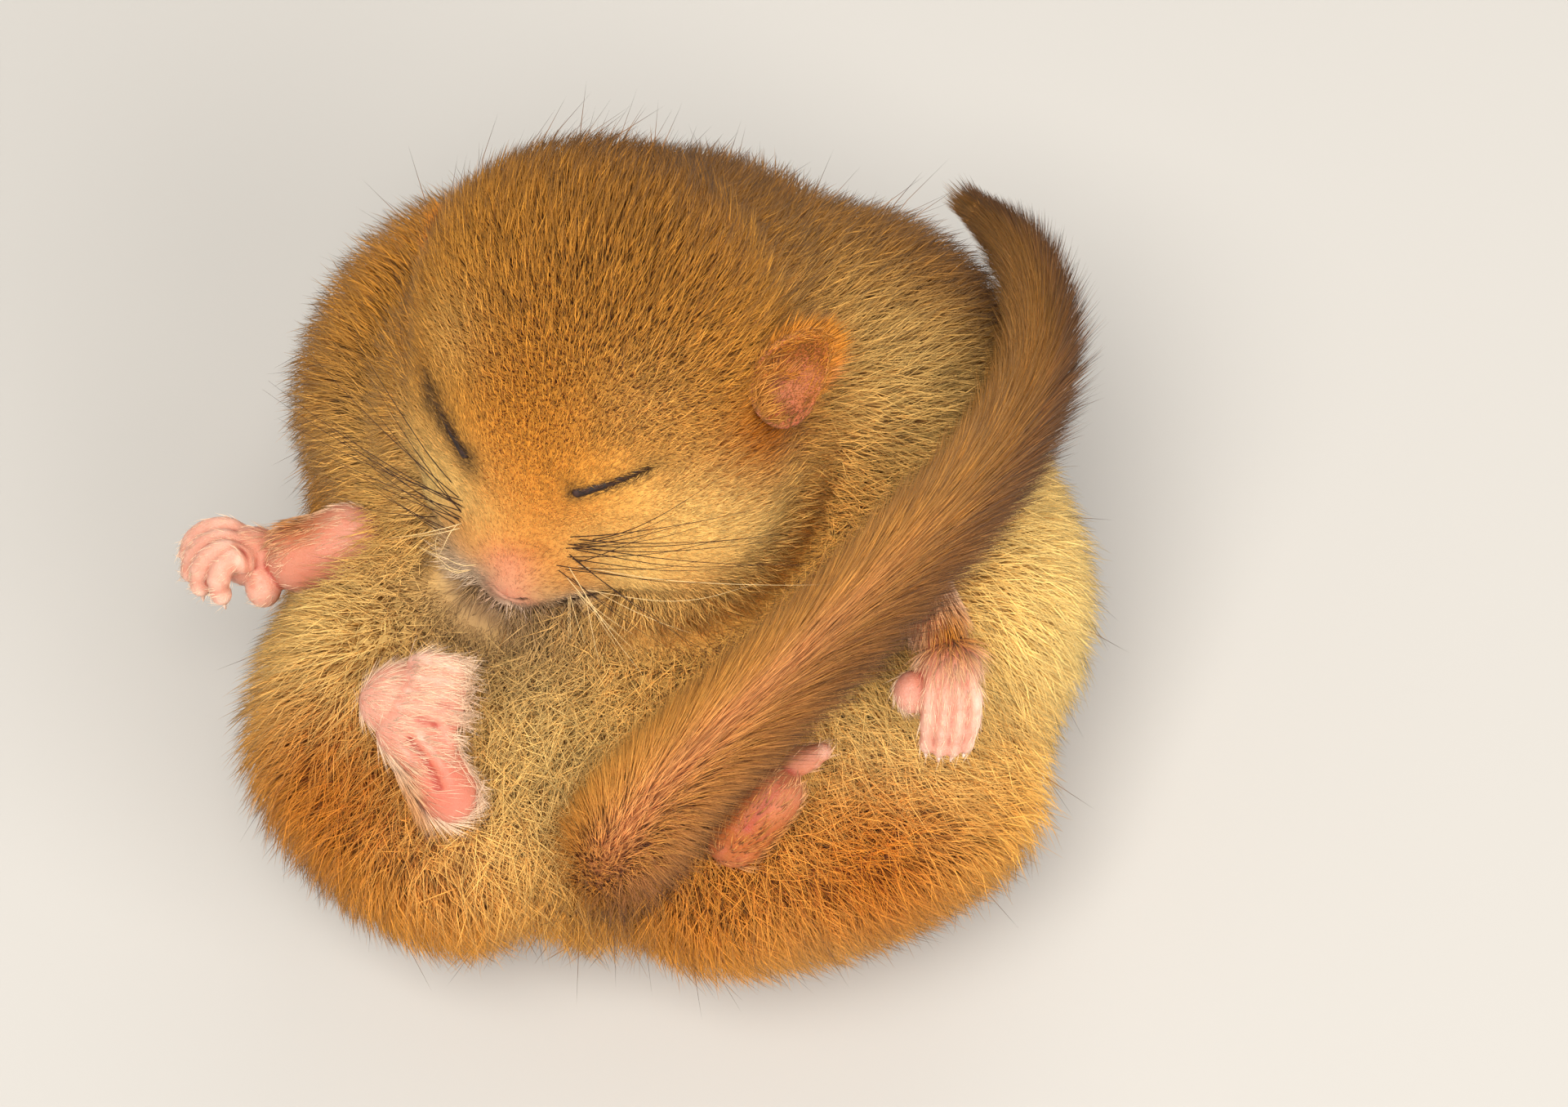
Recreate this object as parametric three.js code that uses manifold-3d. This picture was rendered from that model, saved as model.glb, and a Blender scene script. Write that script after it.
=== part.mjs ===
// A hazel dormouse asleep for the winter, life size, in millimetres.
// It lies curled on its back, chin on its chest, with the bushy tail brought up over belly and cheek.
//
// The forms are laid out in the sleeper's own axes: x runs to its left, y from rump to crown, and z out of
// the belly. The whole curl then leans by LEAN so that it rests on the rounded back, on one flat.

import * as THREE from 'three';
import { mergeVertices } from 'three/addons/utils/BufferGeometryUtils.js';
import Module from 'manifold-3d';

const wasm = await Module();
wasm.setup();

// Driving dimensions
const LEAN = 25; // degrees that the curl leans back from the floor's normal
const REST_DROP = 17; // from the middle of the curl down to the floor
const GAP = 0.3; // air between neighbouring pieces
const FINE_BODY = 10; // how often the body's faces are divided
const FINE_HEAD = 9; // how often the head's faces are divided
const ROUGH = 6; // the same for the surface that only cuts
const SAG = 0.15; // how far that rough surface falls inside the fine one
const SMOOTHED = 0.02; // nearly flat faces are joined where they depart less than this

// The head: where it lies, how it turns, and places on it as (forward, left, up) from the skull's middle
const HEAD_PLACE = new THREE.Vector3(-4.9, 12.6, 14.5);
const HEAD_TILT = 17.3; // degrees that the nose swings to the right foot
const HEAD_DIP = 8.9; // degrees that the nose dips to the belly
const HEAD_ROLL = 10.5; // degrees that the left cheek turns up
const HEAD_MIDDLE = [3.0, 0, -0.8]; // the head's forms are all seen from here
const HEAD_GATHER = [0.5, 0, 0]; // how strongly its faces gather towards the nose
const EYE = { inner: [7.9, 3.4, 4.9], outer: [5.1, 7.0, 3.3], wide: 1.9, past: 0.9, bulge: 1.5, slit: 0.2 };
const MOUTH = { front: 16.0, corner: [10.4, 5.2, -5.2], drop: -3.6, lip: 0.5, overbite: 0.7 };
const NOSTRIL = {
  line: [[15.6, 0.9, -1.9], [16.4, 1.3, -2.1], [17.6, 2.2, -2.3]],
  widths: [0.3, 0.45, 0.55],
};
const EAR = { wide: 3.3, long: 4.1, deep: 1.7, wall: 0.55, sides: 14 };
const EAR_SEATS = {
  left: { place: [-2.9, 13.2, 0.5], open: [0.12, 0.86, 0.5], back: [-0.8, 0.25, 0.45] },
  right: { place: [-2.0, -11.0, -2.6], open: [0.12, -0.86, -0.3], back: [-0.8, -0.25, 0.45] },
};

// The tail: its middle line, and half the width of skin and hair along it
const TAIL_LINE = [
  [-5.0, -21.0, 5.5], [-3.9, -18.6, 8.8], [-1.6, -15.6, 12.6], [1.2, -12.3, 15.2], [4.0, -9.6, 16.4],
  [6.9, -7.0, 16.9], [11.9, -2.2, 16.5], [16.6, 2.5, 15.4], [20.4, 7.2, 13.0], [22.6, 12.0, 9.4],
  [22.7, 16.4, 5.4], [21.4, 19.8, 1.4], [19.4, 22.0, -2.4],
];
const TAIL_HAIR = [3.4, 4.2, 4.9, 5.1, 5.0, 4.4, 3.8, 3.2, 2.2];
const TAIL_SKIN = 1.4; // the bare tail's half width, inside the hair
const TAIL_CORE = 0.45; // the solid middle reaches this share of the way to the tips
const TAIL_FACES = { sides: 8, rings: 22 };
const TAIL_STARTS = { tail_base: 0, tail_middle: 0.27, tail_far: 0.52, tail_tip: 0.77 };
const LOCK = {
  rings: 13, around: 5, from: 0.02, reach: 0.17, wide: 1.6, thin: 0.34, sunk: 0.45, swing: 0.25,
};

// The paws: soft pads as eggs, a sole as a limb, and four digits, each a step on from the one before it
const DIGITS = 4;
const PAWS = {
  hand_left: {
    pads: [
      { place: [16.9, -7.0, 13.6], size: [2.5, 2.1, 1.8] },
      { place: [14.9, -7.7, 13.4], size: [1.25, 1.35, 1.2] },
    ],
    digits: {
      first: [[15.9, -6.9, 14.6], [15.6, -9.0, 14.5], [16.1, -10.9, 13.3], [16.5, -12.2, 12.1]],
      step: [[0.95, 0, 0], [1.2, 0, 0], [0.85, 0, 0], [0.62, 0, 0]],
      wide: 0.68,
      bow: 0.3,
    },
  },
  hand_right: {
    pads: [
      { place: [-26.2, 0.3, 4.1], size: [2.5, 2.0, 2.2] },
      { place: [-24.6, -1.8, 4.6], size: [1.5, 1.25, 1.3] },
    ],
    digits: {
      first: [[-25.2, 0.5, 6.2], [-27.6, 0.3, 6.4], [-28.9, -0.9, 5.0], [-28.4, -2.2, 3.9]],
      step: [[0, 0.5, -1.0], [0, 0.75, -1.1], [0, 0.8, -0.9], [0, 0.8, -0.8]],
      wide: 0.72,
    },
  },
  hind_foot_left: {
    pads: [],
    sole: {
      line: [[3.7, -17.9, 10.8], [5.6, -15.6, 12.3], [7.8, -13.2, 12.9], [9.3, -11.4, 12.8]],
      widths: [1.4, 1.8, 1.75, 1.7, 1.5],
    },
    digits: {
      first: [[8.2, -12.3, 12.8], [9.4, -10.8, 13.1], [10.2, -9.7, 12.4]],
      step: [[0.6, 0.35, 0], [0.55, 0.2, 0], [0.5, 0, 0]],
      wide: 0.62,
    },
  },
  hind_foot_right: {
    pads: [
      { place: [-15.7, -8.4, 13.1], size: [2.5, 2.0, 1.6], turn: 25 },
      { place: [-13.0, -10.6, 13.5], size: [0.8, 1.5, 1.0], turn: 14 },
    ],
    sole: {
      line: [[-12.0, -15.6, 11.4], [-13.2, -13.4, 12.7], [-14.9, -10.6, 13.2], [-16.3, -8.6, 13.2]],
      widths: [1.3, 1.75, 1.85, 2.0, 1.9],
    },
    digits: {
      first: [[-16.6, -8.6, 13.6], [-14.8, -8.6, 14.6], [-12.9, -9.0, 14.2], [-12.1, -9.7, 12.9]],
      step: [[0.5, 0.85, 0], [0.4, 0.95, 0], [0.2, 0.95, 0], [0, 0.95, 0]],
      wide: 0.66,
    },
  },
};
const SOLE_FACES = { sides: 8, rings: 7, flat: 0.8 };

// Short bare forearms between the coat of the shoulder and the wrist
const FOREARMS = {
  left: { line: [[14.6, 0.8, 10.6], [15.6, -2.2, 12.4], [16.7, -5.2, 13.5]], widths: [2.1, 1.9, 1.7] },
  right: { line: [[-17.6, 3.0, 4.4], [-21.0, 1.3, 4.8], [-24.2, 0.3, 4.5]], widths: [2.2, 2.0, 1.8] },
};
const ARM_FACES = { sides: 8, rings: 5 };

// Room that the tail leaves for the left paws it passes over
const HAND_ROOM = { place: [16.6, -7.2, 13.8], size: [3.6, 3.4, 2.6] };
const FOOT_ROOM = {
  line: [[2.6, -19.2, 9.8], [5.6, -15.6, 12.3], [7.8, -13.2, 12.9], [12.4, -8.6, 12.9]],
  widths: [2.2, 2.3, 2.3, 2.3, 2.4],
};

// Coat and skin colours
const LOOKS = {
  golden: { color: 0xb9813f, roughness: 0.85 },
  pale: { color: 0xd9b77a, roughness: 0.85 },
  brush: { color: 0xa06a35, roughness: 0.9 },
  bare: { color: 0xe0a493, roughness: 0.6 },
  ear: { color: 0xc98a5c, roughness: 0.65 },
  lid: { color: 0x5a4030, roughness: 0.5 },
};

// Small helpers
const radians = THREE.MathUtils.degToRad;
const vector = (list) => new THREE.Vector3(...list);
const mix = THREE.MathUtils.lerp;

function along(list, t) {
  const place = t * (list.length - 1);
  const low = Math.min(Math.floor(place), list.length - 2);
  return mix(list[low], list[low + 1], place - low);
}

// Fields: each tells how far a point is outside a rounded form
function oval(centre, size, turn = [0, 0, 0]) {
  const middle = vector(centre);
  const back = new THREE.Quaternion().setFromEuler(new THREE.Euler(...turn.map(radians))).invert();
  const local = new THREE.Vector3();
  return (point) => {
    local.copy(point).sub(middle).applyQuaternion(back);
    const near = Math.hypot(local.x / size[0], local.y / size[1], local.z / size[2]);
    const steep = Math.hypot(local.x / size[0] ** 2, local.y / size[1] ** 2, local.z / size[2] ** 2);
    return steep > 0 ? (near * (near - 1)) / steep : -Math.min(...size);
  };
}

function soften(width, ...fields) {
  return (point) => fields.map((field) => field(point)).reduce((first, second) => {
    const overlap = Math.max(width - Math.abs(first - second), 0) / width;
    return Math.min(first, second) - overlap * overlap * width * 0.25;
  });
}

// Closed solids
function bareMesh(geometry) {
  geometry.deleteAttribute('normal');
  geometry.deleteAttribute('uv');
  return mergeVertices(geometry, 1e-5);
}

function solidFrom(geometry) {
  const merged = bareMesh(geometry);
  return new wasm.Manifold(new wasm.Mesh({
    numProp: 3,
    vertProperties: new Float32Array(merged.attributes.position.array),
    triVerts: new Uint32Array(merged.index.array),
  }));
}

function largest(solid) {
  const bodies = solid.decompose();
  return bodies.reduce((best, body) => (body.volume() > best.volume() ? body : best));
}

function fuse(solids) {
  return solids.reduce((all, solid) => all.add(solid));
}

function egg({ place, size, turn = 0 }, grow = 0) {
  const ball = new THREE.IcosahedronGeometry(1, 1);
  ball.scale(size[0] + grow, size[1] + grow, size[2] + grow);
  ball.rotateZ(radians(turn));
  ball.translate(...place);
  return solidFrom(ball);
}

// A ball whose every point is pushed in to the field's outermost surface, as seen from the centre
function swell(field, centre, detail, grow = 0, gather = [0, 0, 0]) {
  const FAR = 48;
  const MOST_STEPS = 120;
  const STRIDE = 0.8;
  const CLOSE = 1e-4;
  const ball = bareMesh(new THREE.IcosahedronGeometry(1, detail));
  const places = ball.attributes.position;
  const pull = vector(gather);
  const middle = vector(centre);
  const ray = new THREE.Vector3();
  const point = new THREE.Vector3();
  for (let i = 0; i < places.count; i += 1) {
    ray.fromBufferAttribute(places, i).add(pull).normalize();
    let reach = FAR;
    for (let step = 0; step < MOST_STEPS; step += 1) {
      const outside = field(point.copy(middle).addScaledVector(ray, reach)) - grow;
      if (outside < CLOSE) break;
      reach -= outside * STRIDE;
    }
    places.setXYZ(i, point.x, point.y, point.z);
  }
  return solidFrom(ball);
}

// A closed limb, finger, lip or lock along a smooth line, pointed at both ends.
// Its half widths are spread evenly along it, and flat makes it thinner along the facing direction.
function limb(line, widths, { sides = 6, rings = 5, flat = 1, facing = [0, 0, 1] } = {}) {
  const curve = new THREE.CatmullRomCurve3(line.map(vector));
  const positions = [];
  const faces = [];
  const face = vector(facing);
  const add = (place) => positions.push(place.x, place.y, place.z);
  add(curve.getPoint(0));
  for (let ring = 1; ring <= rings; ring += 1) {
    const t = (ring - 0.5) / rings;
    const middle = curve.getPoint(t);
    const ahead = curve.getTangent(t);
    const across = ahead.clone().cross(face).normalize();
    const out = across.clone().cross(ahead);
    const wide = along(widths, t);
    for (let side = 0; side < sides; side += 1) {
      const angle = (side / sides) * Math.PI * 2;
      add(middle.clone().addScaledVector(across, Math.cos(angle) * wide)
        .addScaledVector(out, Math.sin(angle) * wide * flat));
    }
  }
  add(curve.getPoint(1));
  const end = 1 + rings * sides;
  const at = (ring, side) => 1 + ring * sides + (side % sides);
  for (let side = 0; side < sides; side += 1) {
    faces.push(0, at(0, side), at(0, side + 1));
    for (let ring = 0; ring < rings - 1; ring += 1) {
      faces.push(at(ring, side), at(ring + 1, side), at(ring, side + 1));
      faces.push(at(ring + 1, side), at(ring + 1, side + 1), at(ring, side + 1));
    }
    faces.push(at(rings - 1, side), end, at(rings - 1, side + 1));
  }
  const geometry = new THREE.BufferGeometry();
  geometry.setAttribute('position', new THREE.Float32BufferAttribute(positions, 3));
  geometry.setIndex(faces);
  return solidFrom(geometry);
}

// The head's own axes and forms: skull, bridge, muzzle, cheeks, chin and the pad of the nose
function headAxes() {
  const tilt = radians(HEAD_TILT);
  const dip = radians(HEAD_DIP);
  const forward = new THREE.Vector3(
    -Math.sin(tilt) * Math.cos(dip), -Math.cos(tilt) * Math.cos(dip), -Math.sin(dip));
  const up = new THREE.Vector3(0, 0, 1).addScaledVector(forward, Math.sin(dip)).normalize();
  up.applyAxisAngle(forward, radians(HEAD_ROLL));
  const left = up.clone().cross(forward);
  return new THREE.Matrix4().makeBasis(forward, left, up).setPosition(HEAD_PLACE);
}

const headMatrix = headAxes();
const headField = soften(2.2,
  oval([-2.5, 0.6, 0], [10.9, 12.0, 8.8]),
  oval([3, 0, 0.2], [9, 7.2, 6.2]),
  oval([9.0, 0, -2.7], [6.6, 5.4, 3.7]),
  oval([4.8, 7.8, -2.9], [8.6, 6.9, 6.0]),
  oval([8.4, 4.4, -4.2], [6.2, 5.2, 4.2]),
  oval([4.4, -5.6, -2.9], [7.8, 5.0, 5.4]),
  oval([9.4, 0, -4.8], [6.0, 4.6, 2.7]),
  oval([14.2, 0, -1.9], [2.5, 3.0, 2.2]));

function headBlock(grow, detail) {
  return swell(headField, HEAD_MIDDLE, detail, grow, HEAD_GATHER);
}

// The curled body, to the tips of the coat: trunk, shoulders, nape, flanks, belly and the bent hind legs
const bodyForms = soften(2.0,
  oval([0.5, -3.2, -2.6], [25.6, 21.6, 14.6], [-LEAN, 0, 0]),
  oval([-11, 8.8, -1], [13.4, 13.6, 13]),
  oval([10.5, 9.2, -0.5], [13.4, 13.6, 13.4]),
  oval([0.4, 13.8, 4.6], [13.6, 12.4, 13.4]),
  oval([-9.5, 13.5, -0.5], [12.2, 10.8, 11]),
  oval([9, 12.6, -1], [11.3, 10.0, 11]),
  oval([-16, -6, 2.2], [10.6, 9.6, 10.2]),
  oval([15, -2.6, 0.6], [12.4, 13.4, 11.6]),
  oval([-4, -9.5, 1.6], [11, 9.5, 9.6]),
  oval([-15.5, -15.6, 2.6], [13.4, 8.2, 10.2], [0, 0, -38]),
  oval([9.5, -18.0, 3], [16, 7.6, 10.0], [0, 0, 17]));

// Hollows and creases, each a place, how wide it is and how deep it presses the coat in
const HOLLOWS = [
  { place: [-6.5, -4.5, 12], wide: 6.5, deep: 2.6 },
  { place: [-26, 0.6, 3], wide: 5.0, deep: 3.4 },
  { place: [-6.5, -13.8, 13], wide: 3.4, deep: 1.8 },
  { place: [-17, -12.6, 12], wide: 3.6, deep: 1.5 },
  { place: [11, -12.2, 13], wide: 4.2, deep: 1.8 },
  { place: [19, -12.0, 9], wide: 4.2, deep: 1.5 },
  { place: [-6.2, -24.6, 3], wide: 5.2, deep: 2.6 },
];

function bodyField(point) {
  return HOLLOWS.reduce((outside, { place, wide, deep }) => {
    const away = Math.hypot(point.x - place[0], point.y - place[1], point.z - place[2]) / wide;
    return outside + deep * Math.exp(-away * away);
  }, bodyForms(point));
}

function bodyBlock(grow) {
  return swell(bodyField, [0, 0, -1], FINE_BODY, grow);
}

// The floor, as a slab that the body's underside is cut with
function floorSlab() {
  const THICK = 20;
  const SPAN = 120;
  const slab = new THREE.BoxGeometry(SPAN, SPAN, THICK);
  slab.translate(0, 0, -REST_DROP - THICK / 2);
  slab.rotateX(-radians(LEAN));
  return solidFrom(slab);
}

// Regions that share the body out: each is a plain egg, and its edge is where two pieces meet
const REGIONS = {
  neck: { place: [0.5, 21.5, 5], size: [12, 12.5, 18], turn: 0 },
  shoulder_right: { place: [-17.5, 14, 0], size: [14.5, 14, 17], turn: 0 },
  shoulder_left: { place: [18, 14, 0], size: [14.5, 13, 17], turn: 0 },
  thigh_right: { place: [-19.5, -20.5, 5], size: [18, 12.5, 15], turn: -38 },
  thigh_left: { place: [11, -24.5, 5.5], size: [20, 12.5, 15], turn: 15 },
};

function regionBlock({ place, size, turn }, grow) {
  const shape = new THREE.IcosahedronGeometry(1, 3);
  shape.scale(size[0] + grow, size[1] + grow, size[2] + grow);
  shape.rotateZ(radians(turn));
  shape.translate(...place);
  return solidFrom(shape);
}

function bodyPieces() {
  const chinRoom = lipSolid(-MOUTH.lip, MOUTH.overbite, MOUTH.lip + GAP);
  let rest = bodyBlock(0)
    .subtract(headBlock(GAP + SAG, ROUGH).transform(headMatrix.elements))
    .subtract(chinRoom.transform(headMatrix.elements))
    .subtract(floorSlab());
  const pieces = {};
  for (const [name, region] of Object.entries(REGIONS)) {
    pieces[name] = largest(rest.intersect(regionBlock(region, -GAP / 2)));
    rest = rest.subtract(regionBlock(region, GAP / 2));
  }
  pieces.torso = largest(rest);
  return pieces;
}

// Closed lids: a low bulge on each side of the face, parted by a fine slit
function eyeSolids(side) {
  const inner = vector([EYE.inner[0], EYE.inner[1] * side, EYE.inner[2]]);
  const outer = vector([EYE.outer[0], EYE.outer[1] * side, EYE.outer[2]]);
  const middle = inner.clone().lerp(outer, 0.5);
  const run = outer.clone().sub(inner);
  const half = run.length() / 2;
  run.normalize();
  const out = new THREE.Vector3(0.45, 0.55 * side, 0.7);
  out.addScaledVector(run, -out.dot(run)).normalize();
  const down = run.clone().cross(out).multiplyScalar(side);
  const frame = new THREE.Matrix4().makeBasis(run, out.clone().cross(run), out)
    .setPosition(middle.clone().addScaledVector(out, -EYE.bulge * 0.62));
  const ball = (grow) => {
    const lids = new THREE.IcosahedronGeometry(1, 2);
    lids.scale(half + EYE.past + grow, EYE.wide + grow, EYE.bulge + grow);
    lids.applyMatrix4(frame);
    return solidFrom(lids);
  };
  const bow = middle.clone().addScaledVector(down, -0.35).addScaledVector(out, 0.35);
  const slit = limb([inner.toArray(), bow.toArray(), outer.toArray()],
    [0.35, 1, 1, 1, 0.35].map((share) => share * EYE.slit),
    { sides: 4, rings: 5, flat: 4, facing: out.toArray() });
  return { lids: largest(ball(0).subtract(slit)), socket: ball(GAP) };
}

// The line of the mouth, from its right corner round the front to its left one
function mouthLine(height, inset) {
  const { front, corner, drop } = MOUTH;
  const half = (side) => [
    [corner[0], corner[1] * side, corner[2] + height],
    [mix(corner[0], front, 0.62), corner[1] * 0.74 * side, mix(corner[2], drop, 0.62) + height],
  ];
  return [...half(1), [front - inset, 0, drop + height], ...half(-1).reverse()];
}

function lipSolid(height, inset, wide) {
  return limb(mouthLine(height, inset), [0.4, 1, 1, 1, 0.4].map((share) => share * wide),
    { sides: 6, rings: 12 });
}

function headSolid(eyes) {
  const upperLip = lipSolid(MOUTH.lip, 0, MOUTH.lip);
  const lowerLip = lipSolid(-MOUTH.lip, MOUTH.overbite, MOUTH.lip);
  const groove = limb(mouthLine(0, -0.9), [0.05, 1.5, 1.7, 1.5, 0.05], { sides: 4, rings: 12, flat: 0.1 });
  const nostrils = [1, -1].map((side) => limb(
    NOSTRIL.line.map(([ahead, left, up]) => [ahead, left * side, up]), NOSTRIL.widths, { rings: 4 }));
  const cutters = [groove, ...nostrils, ...eyes.map((eye) => eye.socket)];
  const whole = headBlock(0, FINE_HEAD).add(upperLip).add(lowerLip);
  return largest(cutters.reduce((head, cutter) => head.subtract(cutter), whole));
}

// A small round ear lying back on the coat, its cup open to the side
function earSolid({ place, open, back }, head) {
  const { wide, long, deep, wall, sides } = EAR;
  const rim = [[1, 0], [1 - wall / wide, 0.1]];
  const outside = [[0, 1], [0.45, 0.84], [0.8, 0.45]].map(([out, down]) => [out, -deep * down]);
  const inside = [[0.7, 0.45], [0.4, 0.84], [0, 1]].map(([out, down]) => [out, wall - deep * down]);
  const profile = [...outside, ...rim, ...inside].map(([out, up]) => new THREE.Vector2(out * wide, up));
  const cup = new THREE.LatheGeometry(profile, sides);
  cup.scale(1, 1, long / wide);
  const facing = vector(open).normalize();
  const tip = vector(back);
  tip.addScaledVector(facing, -tip.dot(facing)).normalize();
  const across = facing.clone().cross(tip);
  cup.applyMatrix4(new THREE.Matrix4().makeBasis(across, facing, tip).setPosition(vector(place)));
  return solidFrom(cup).subtract(head);
}

// Bare paws: pads, fingers or toes fused to a palm or sole, each digit ending in a short claw
function digit(line, wide) {
  return limb(line, [0.8, 1, 0.9, 1, 0.9, 0.45, 0.2].map((share) => share * wide), { sides: 5, rings: 5 });
}

function digitRow({ first, step, wide, bow = 0 }) {
  return Array.from({ length: DIGITS }, (_, index) => {
    const short = bow * Math.abs(index - (DIGITS - 1) / 2);
    const line = first.map(([x, y, z], joint) => [
      x + step[joint][0] * index,
      y + step[joint][1] * index + (joint > 1 ? short : 0),
      z + step[joint][2] * index,
    ]);
    return digit(line, wide);
  });
}

function pawSolid({ pads, sole, digits }) {
  const soles = sole ? [limb(sole.line, sole.widths, SOLE_FACES)] : [];
  return fuse([...soles, ...pads.map((pad) => egg(pad)), ...digitRow(digits)]);
}

// The tail: a furred middle along the tail line, and rings of flat locks that sweep to its end
const tailCurve = new THREE.CatmullRomCurve3(TAIL_LINE.map(vector));
let seed = 41;

function chance() {
  seed = (seed * 16807) % 2147483647;
  return seed / 2147483647;
}

function tailCore(t) {
  return TAIL_SKIN + (along(TAIL_HAIR, t) - TAIL_SKIN) * TAIL_CORE;
}

// A point beside the tail's middle line, at an angle round it and a distance from it
function besideTail(t, angle, distance) {
  const ahead = tailCurve.getTangent(t);
  const across = ahead.clone().cross(new THREE.Vector3(0, 0, 1)).normalize();
  const out = across.clone().cross(ahead);
  return tailCurve.getPoint(t)
    .addScaledVector(across, Math.cos(angle) * distance)
    .addScaledVector(out, Math.sin(angle) * distance);
}

// One flat lock: its root sinks into the middle, it hugs the surface, then its tip lifts to the hair's reach
function tailLock(t, angle) {
  const reach = LOCK.reach * (0.85 + 0.3 * chance());
  const swing = LOCK.swing * (chance() - 0.5);
  const end = Math.min(t + reach, 1);
  const hair = along(TAIL_HAIR, end) * (0.94 + 0.1 * chance());
  const line = [
    besideTail(t, angle, tailCore(t) * LOCK.sunk),
    besideTail(mix(t, end, 0.34), angle + swing * 0.3, tailCore(t) * 1.02),
    besideTail(mix(t, end, 0.7), angle + swing * 0.7, mix(tailCore(t), hair, 0.62)),
    besideTail(end, angle + swing, hair),
  ];
  const facing = line[2].clone().sub(tailCurve.getPoint(mix(t, end, 0.7))).normalize();
  const size = LOCK.wide * (0.9 + 0.25 * chance()) * Math.min(1, hair / 4);
  return limb(line.map((place) => place.toArray()), [0.55, 1, 0.95, 0.3].map((share) => share * size),
    { sides: 4, rings: 3, flat: LOCK.thin, facing: facing.toArray() });
}

function tailSolid() {
  const widths = TAIL_HAIR.map((_, index) => tailCore(index / (TAIL_HAIR.length - 1)));
  const locks = [];
  for (let ring = 0; ring < LOCK.rings; ring += 1) {
    const t = LOCK.from + (ring / LOCK.rings) * (1 - LOCK.reach * 0.8);
    for (let place = 0; place < LOCK.around; place += 1) {
      const turns = (place + 0.5 * (ring % 2) + 0.3 * (chance() - 0.5)) / LOCK.around;
      locks.push(tailLock(t, turns * Math.PI * 2));
    }
  }
  return fuse([limb(TAIL_LINE, widths, TAIL_FACES), ...locks]);
}

// Everything past a cut across the tail, on its tip side or, with side at -1, on its root side
function pastCut(t, side) {
  const SPAN = 90;
  const block = new THREE.BoxGeometry(SPAN, SPAN, SPAN);
  block.translate(0, 0, SPAN / 2 - GAP / 2);
  const way = tailCurve.getTangent(t).multiplyScalar(side);
  block.applyQuaternion(new THREE.Quaternion().setFromUnitVectors(new THREE.Vector3(0, 0, 1), way));
  block.translate(...tailCurve.getPoint(t).toArray());
  return solidFrom(block);
}

// The pieces, each clear of those that were made before it
const parts = new THREE.Group();
const dormouse = new THREE.Group();
dormouse.add(parts);
parts.rotation.x = radians(LEAN);

function piece(name, solid, look) {
  const mesh = largest(solid.simplify(SMOOTHED)).getMesh();
  const geometry = new THREE.BufferGeometry();
  geometry.setAttribute('position', new THREE.BufferAttribute(new Float32Array(mesh.vertProperties), 3));
  geometry.setIndex(new THREE.BufferAttribute(new Uint32Array(mesh.triVerts), 1));
  const material = new THREE.MeshStandardMaterial({ ...LOOKS[look], metalness: 0 });
  const item = new THREE.Mesh(geometry, material);
  item.name = name;
  parts.add(item);
}

function clearOf(solid, ...rooms) {
  return largest(rooms.reduce((kept, room) => kept.subtract(room), solid));
}

const eyes = { left: eyeSolids(1), right: eyeSolids(-1) };
piece('head', headSolid(Object.values(eyes)).transform(headMatrix.elements), 'golden');
for (const [side, eye] of Object.entries(eyes)) {
  piece(`eyelids_${side}`, eye.lids.transform(headMatrix.elements), 'lid');
}
for (const [name, solid] of Object.entries(bodyPieces())) {
  piece(name, solid, name === 'torso' ? 'pale' : 'golden');
}

const headRoom = headBlock(GAP, FINE_HEAD);
const bodyRoom = bodyBlock(GAP);
for (const [side, seat] of Object.entries(EAR_SEATS)) {
  piece(`ear_${side}`, earSolid(seat, headRoom).transform(headMatrix.elements).subtract(bodyRoom), 'ear');
}
const armRooms = {};
for (const [side, { line, widths }] of Object.entries(FOREARMS)) {
  piece(`forearm_${side}`, limb(line, widths, ARM_FACES).subtract(bodyRoom), 'bare');
  armRooms[side] = limb(line, widths.map((wide) => wide + GAP), ARM_FACES);
}
for (const [name, paw] of Object.entries(PAWS)) {
  const [kind, ...rest] = name.split('_');
  const rooms = kind === 'hand' ? [bodyRoom, armRooms[rest[0]]] : [bodyRoom];
  piece(name, clearOf(pawSolid(paw), ...rooms), 'bare');
}
const tail = clearOf(tailSolid(), bodyRoom, headRoom.transform(headMatrix.elements), armRooms.left,
  egg(HAND_ROOM), limb(FOOT_ROOM.line, FOOT_ROOM.widths, { sides: 8, rings: 7 }));
const starts = Object.entries(TAIL_STARTS);
for (const [index, [name, from]] of starts.entries()) {
  const beyond = [];
  if (index > 0) beyond.push(pastCut(from, -1));
  if (index < starts.length - 1) beyond.push(pastCut(starts[index + 1][1], 1));
  piece(name, clearOf(tail, ...beyond), 'brush');
}

// The sleeper stands on the floor, with the middle of its whole box over the origin
dormouse.updateMatrixWorld(true);
const box = new THREE.Box3().setFromObject(dormouse, true);
const middle = box.getCenter(new THREE.Vector3());
parts.position.set(-middle.x, -middle.y, -box.min.z);

export default dormouse;
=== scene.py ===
# %% [markdown]
# # A hazel dormouse asleep for the winter
#
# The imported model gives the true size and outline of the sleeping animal, out to the tips of its coat.
# This lesson dresses it: one skin lies inside those solids by the depth of the fur, and the fur itself is
# built as many thin tufts of solid mesh. Every step says what the real animal has and how it is made here.

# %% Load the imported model
import math

import bmesh
import bpy
import numpy as np
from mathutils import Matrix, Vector
from mathutils.bvhtree import BVHTree
from mathutils.kdtree import KDTree


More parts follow.
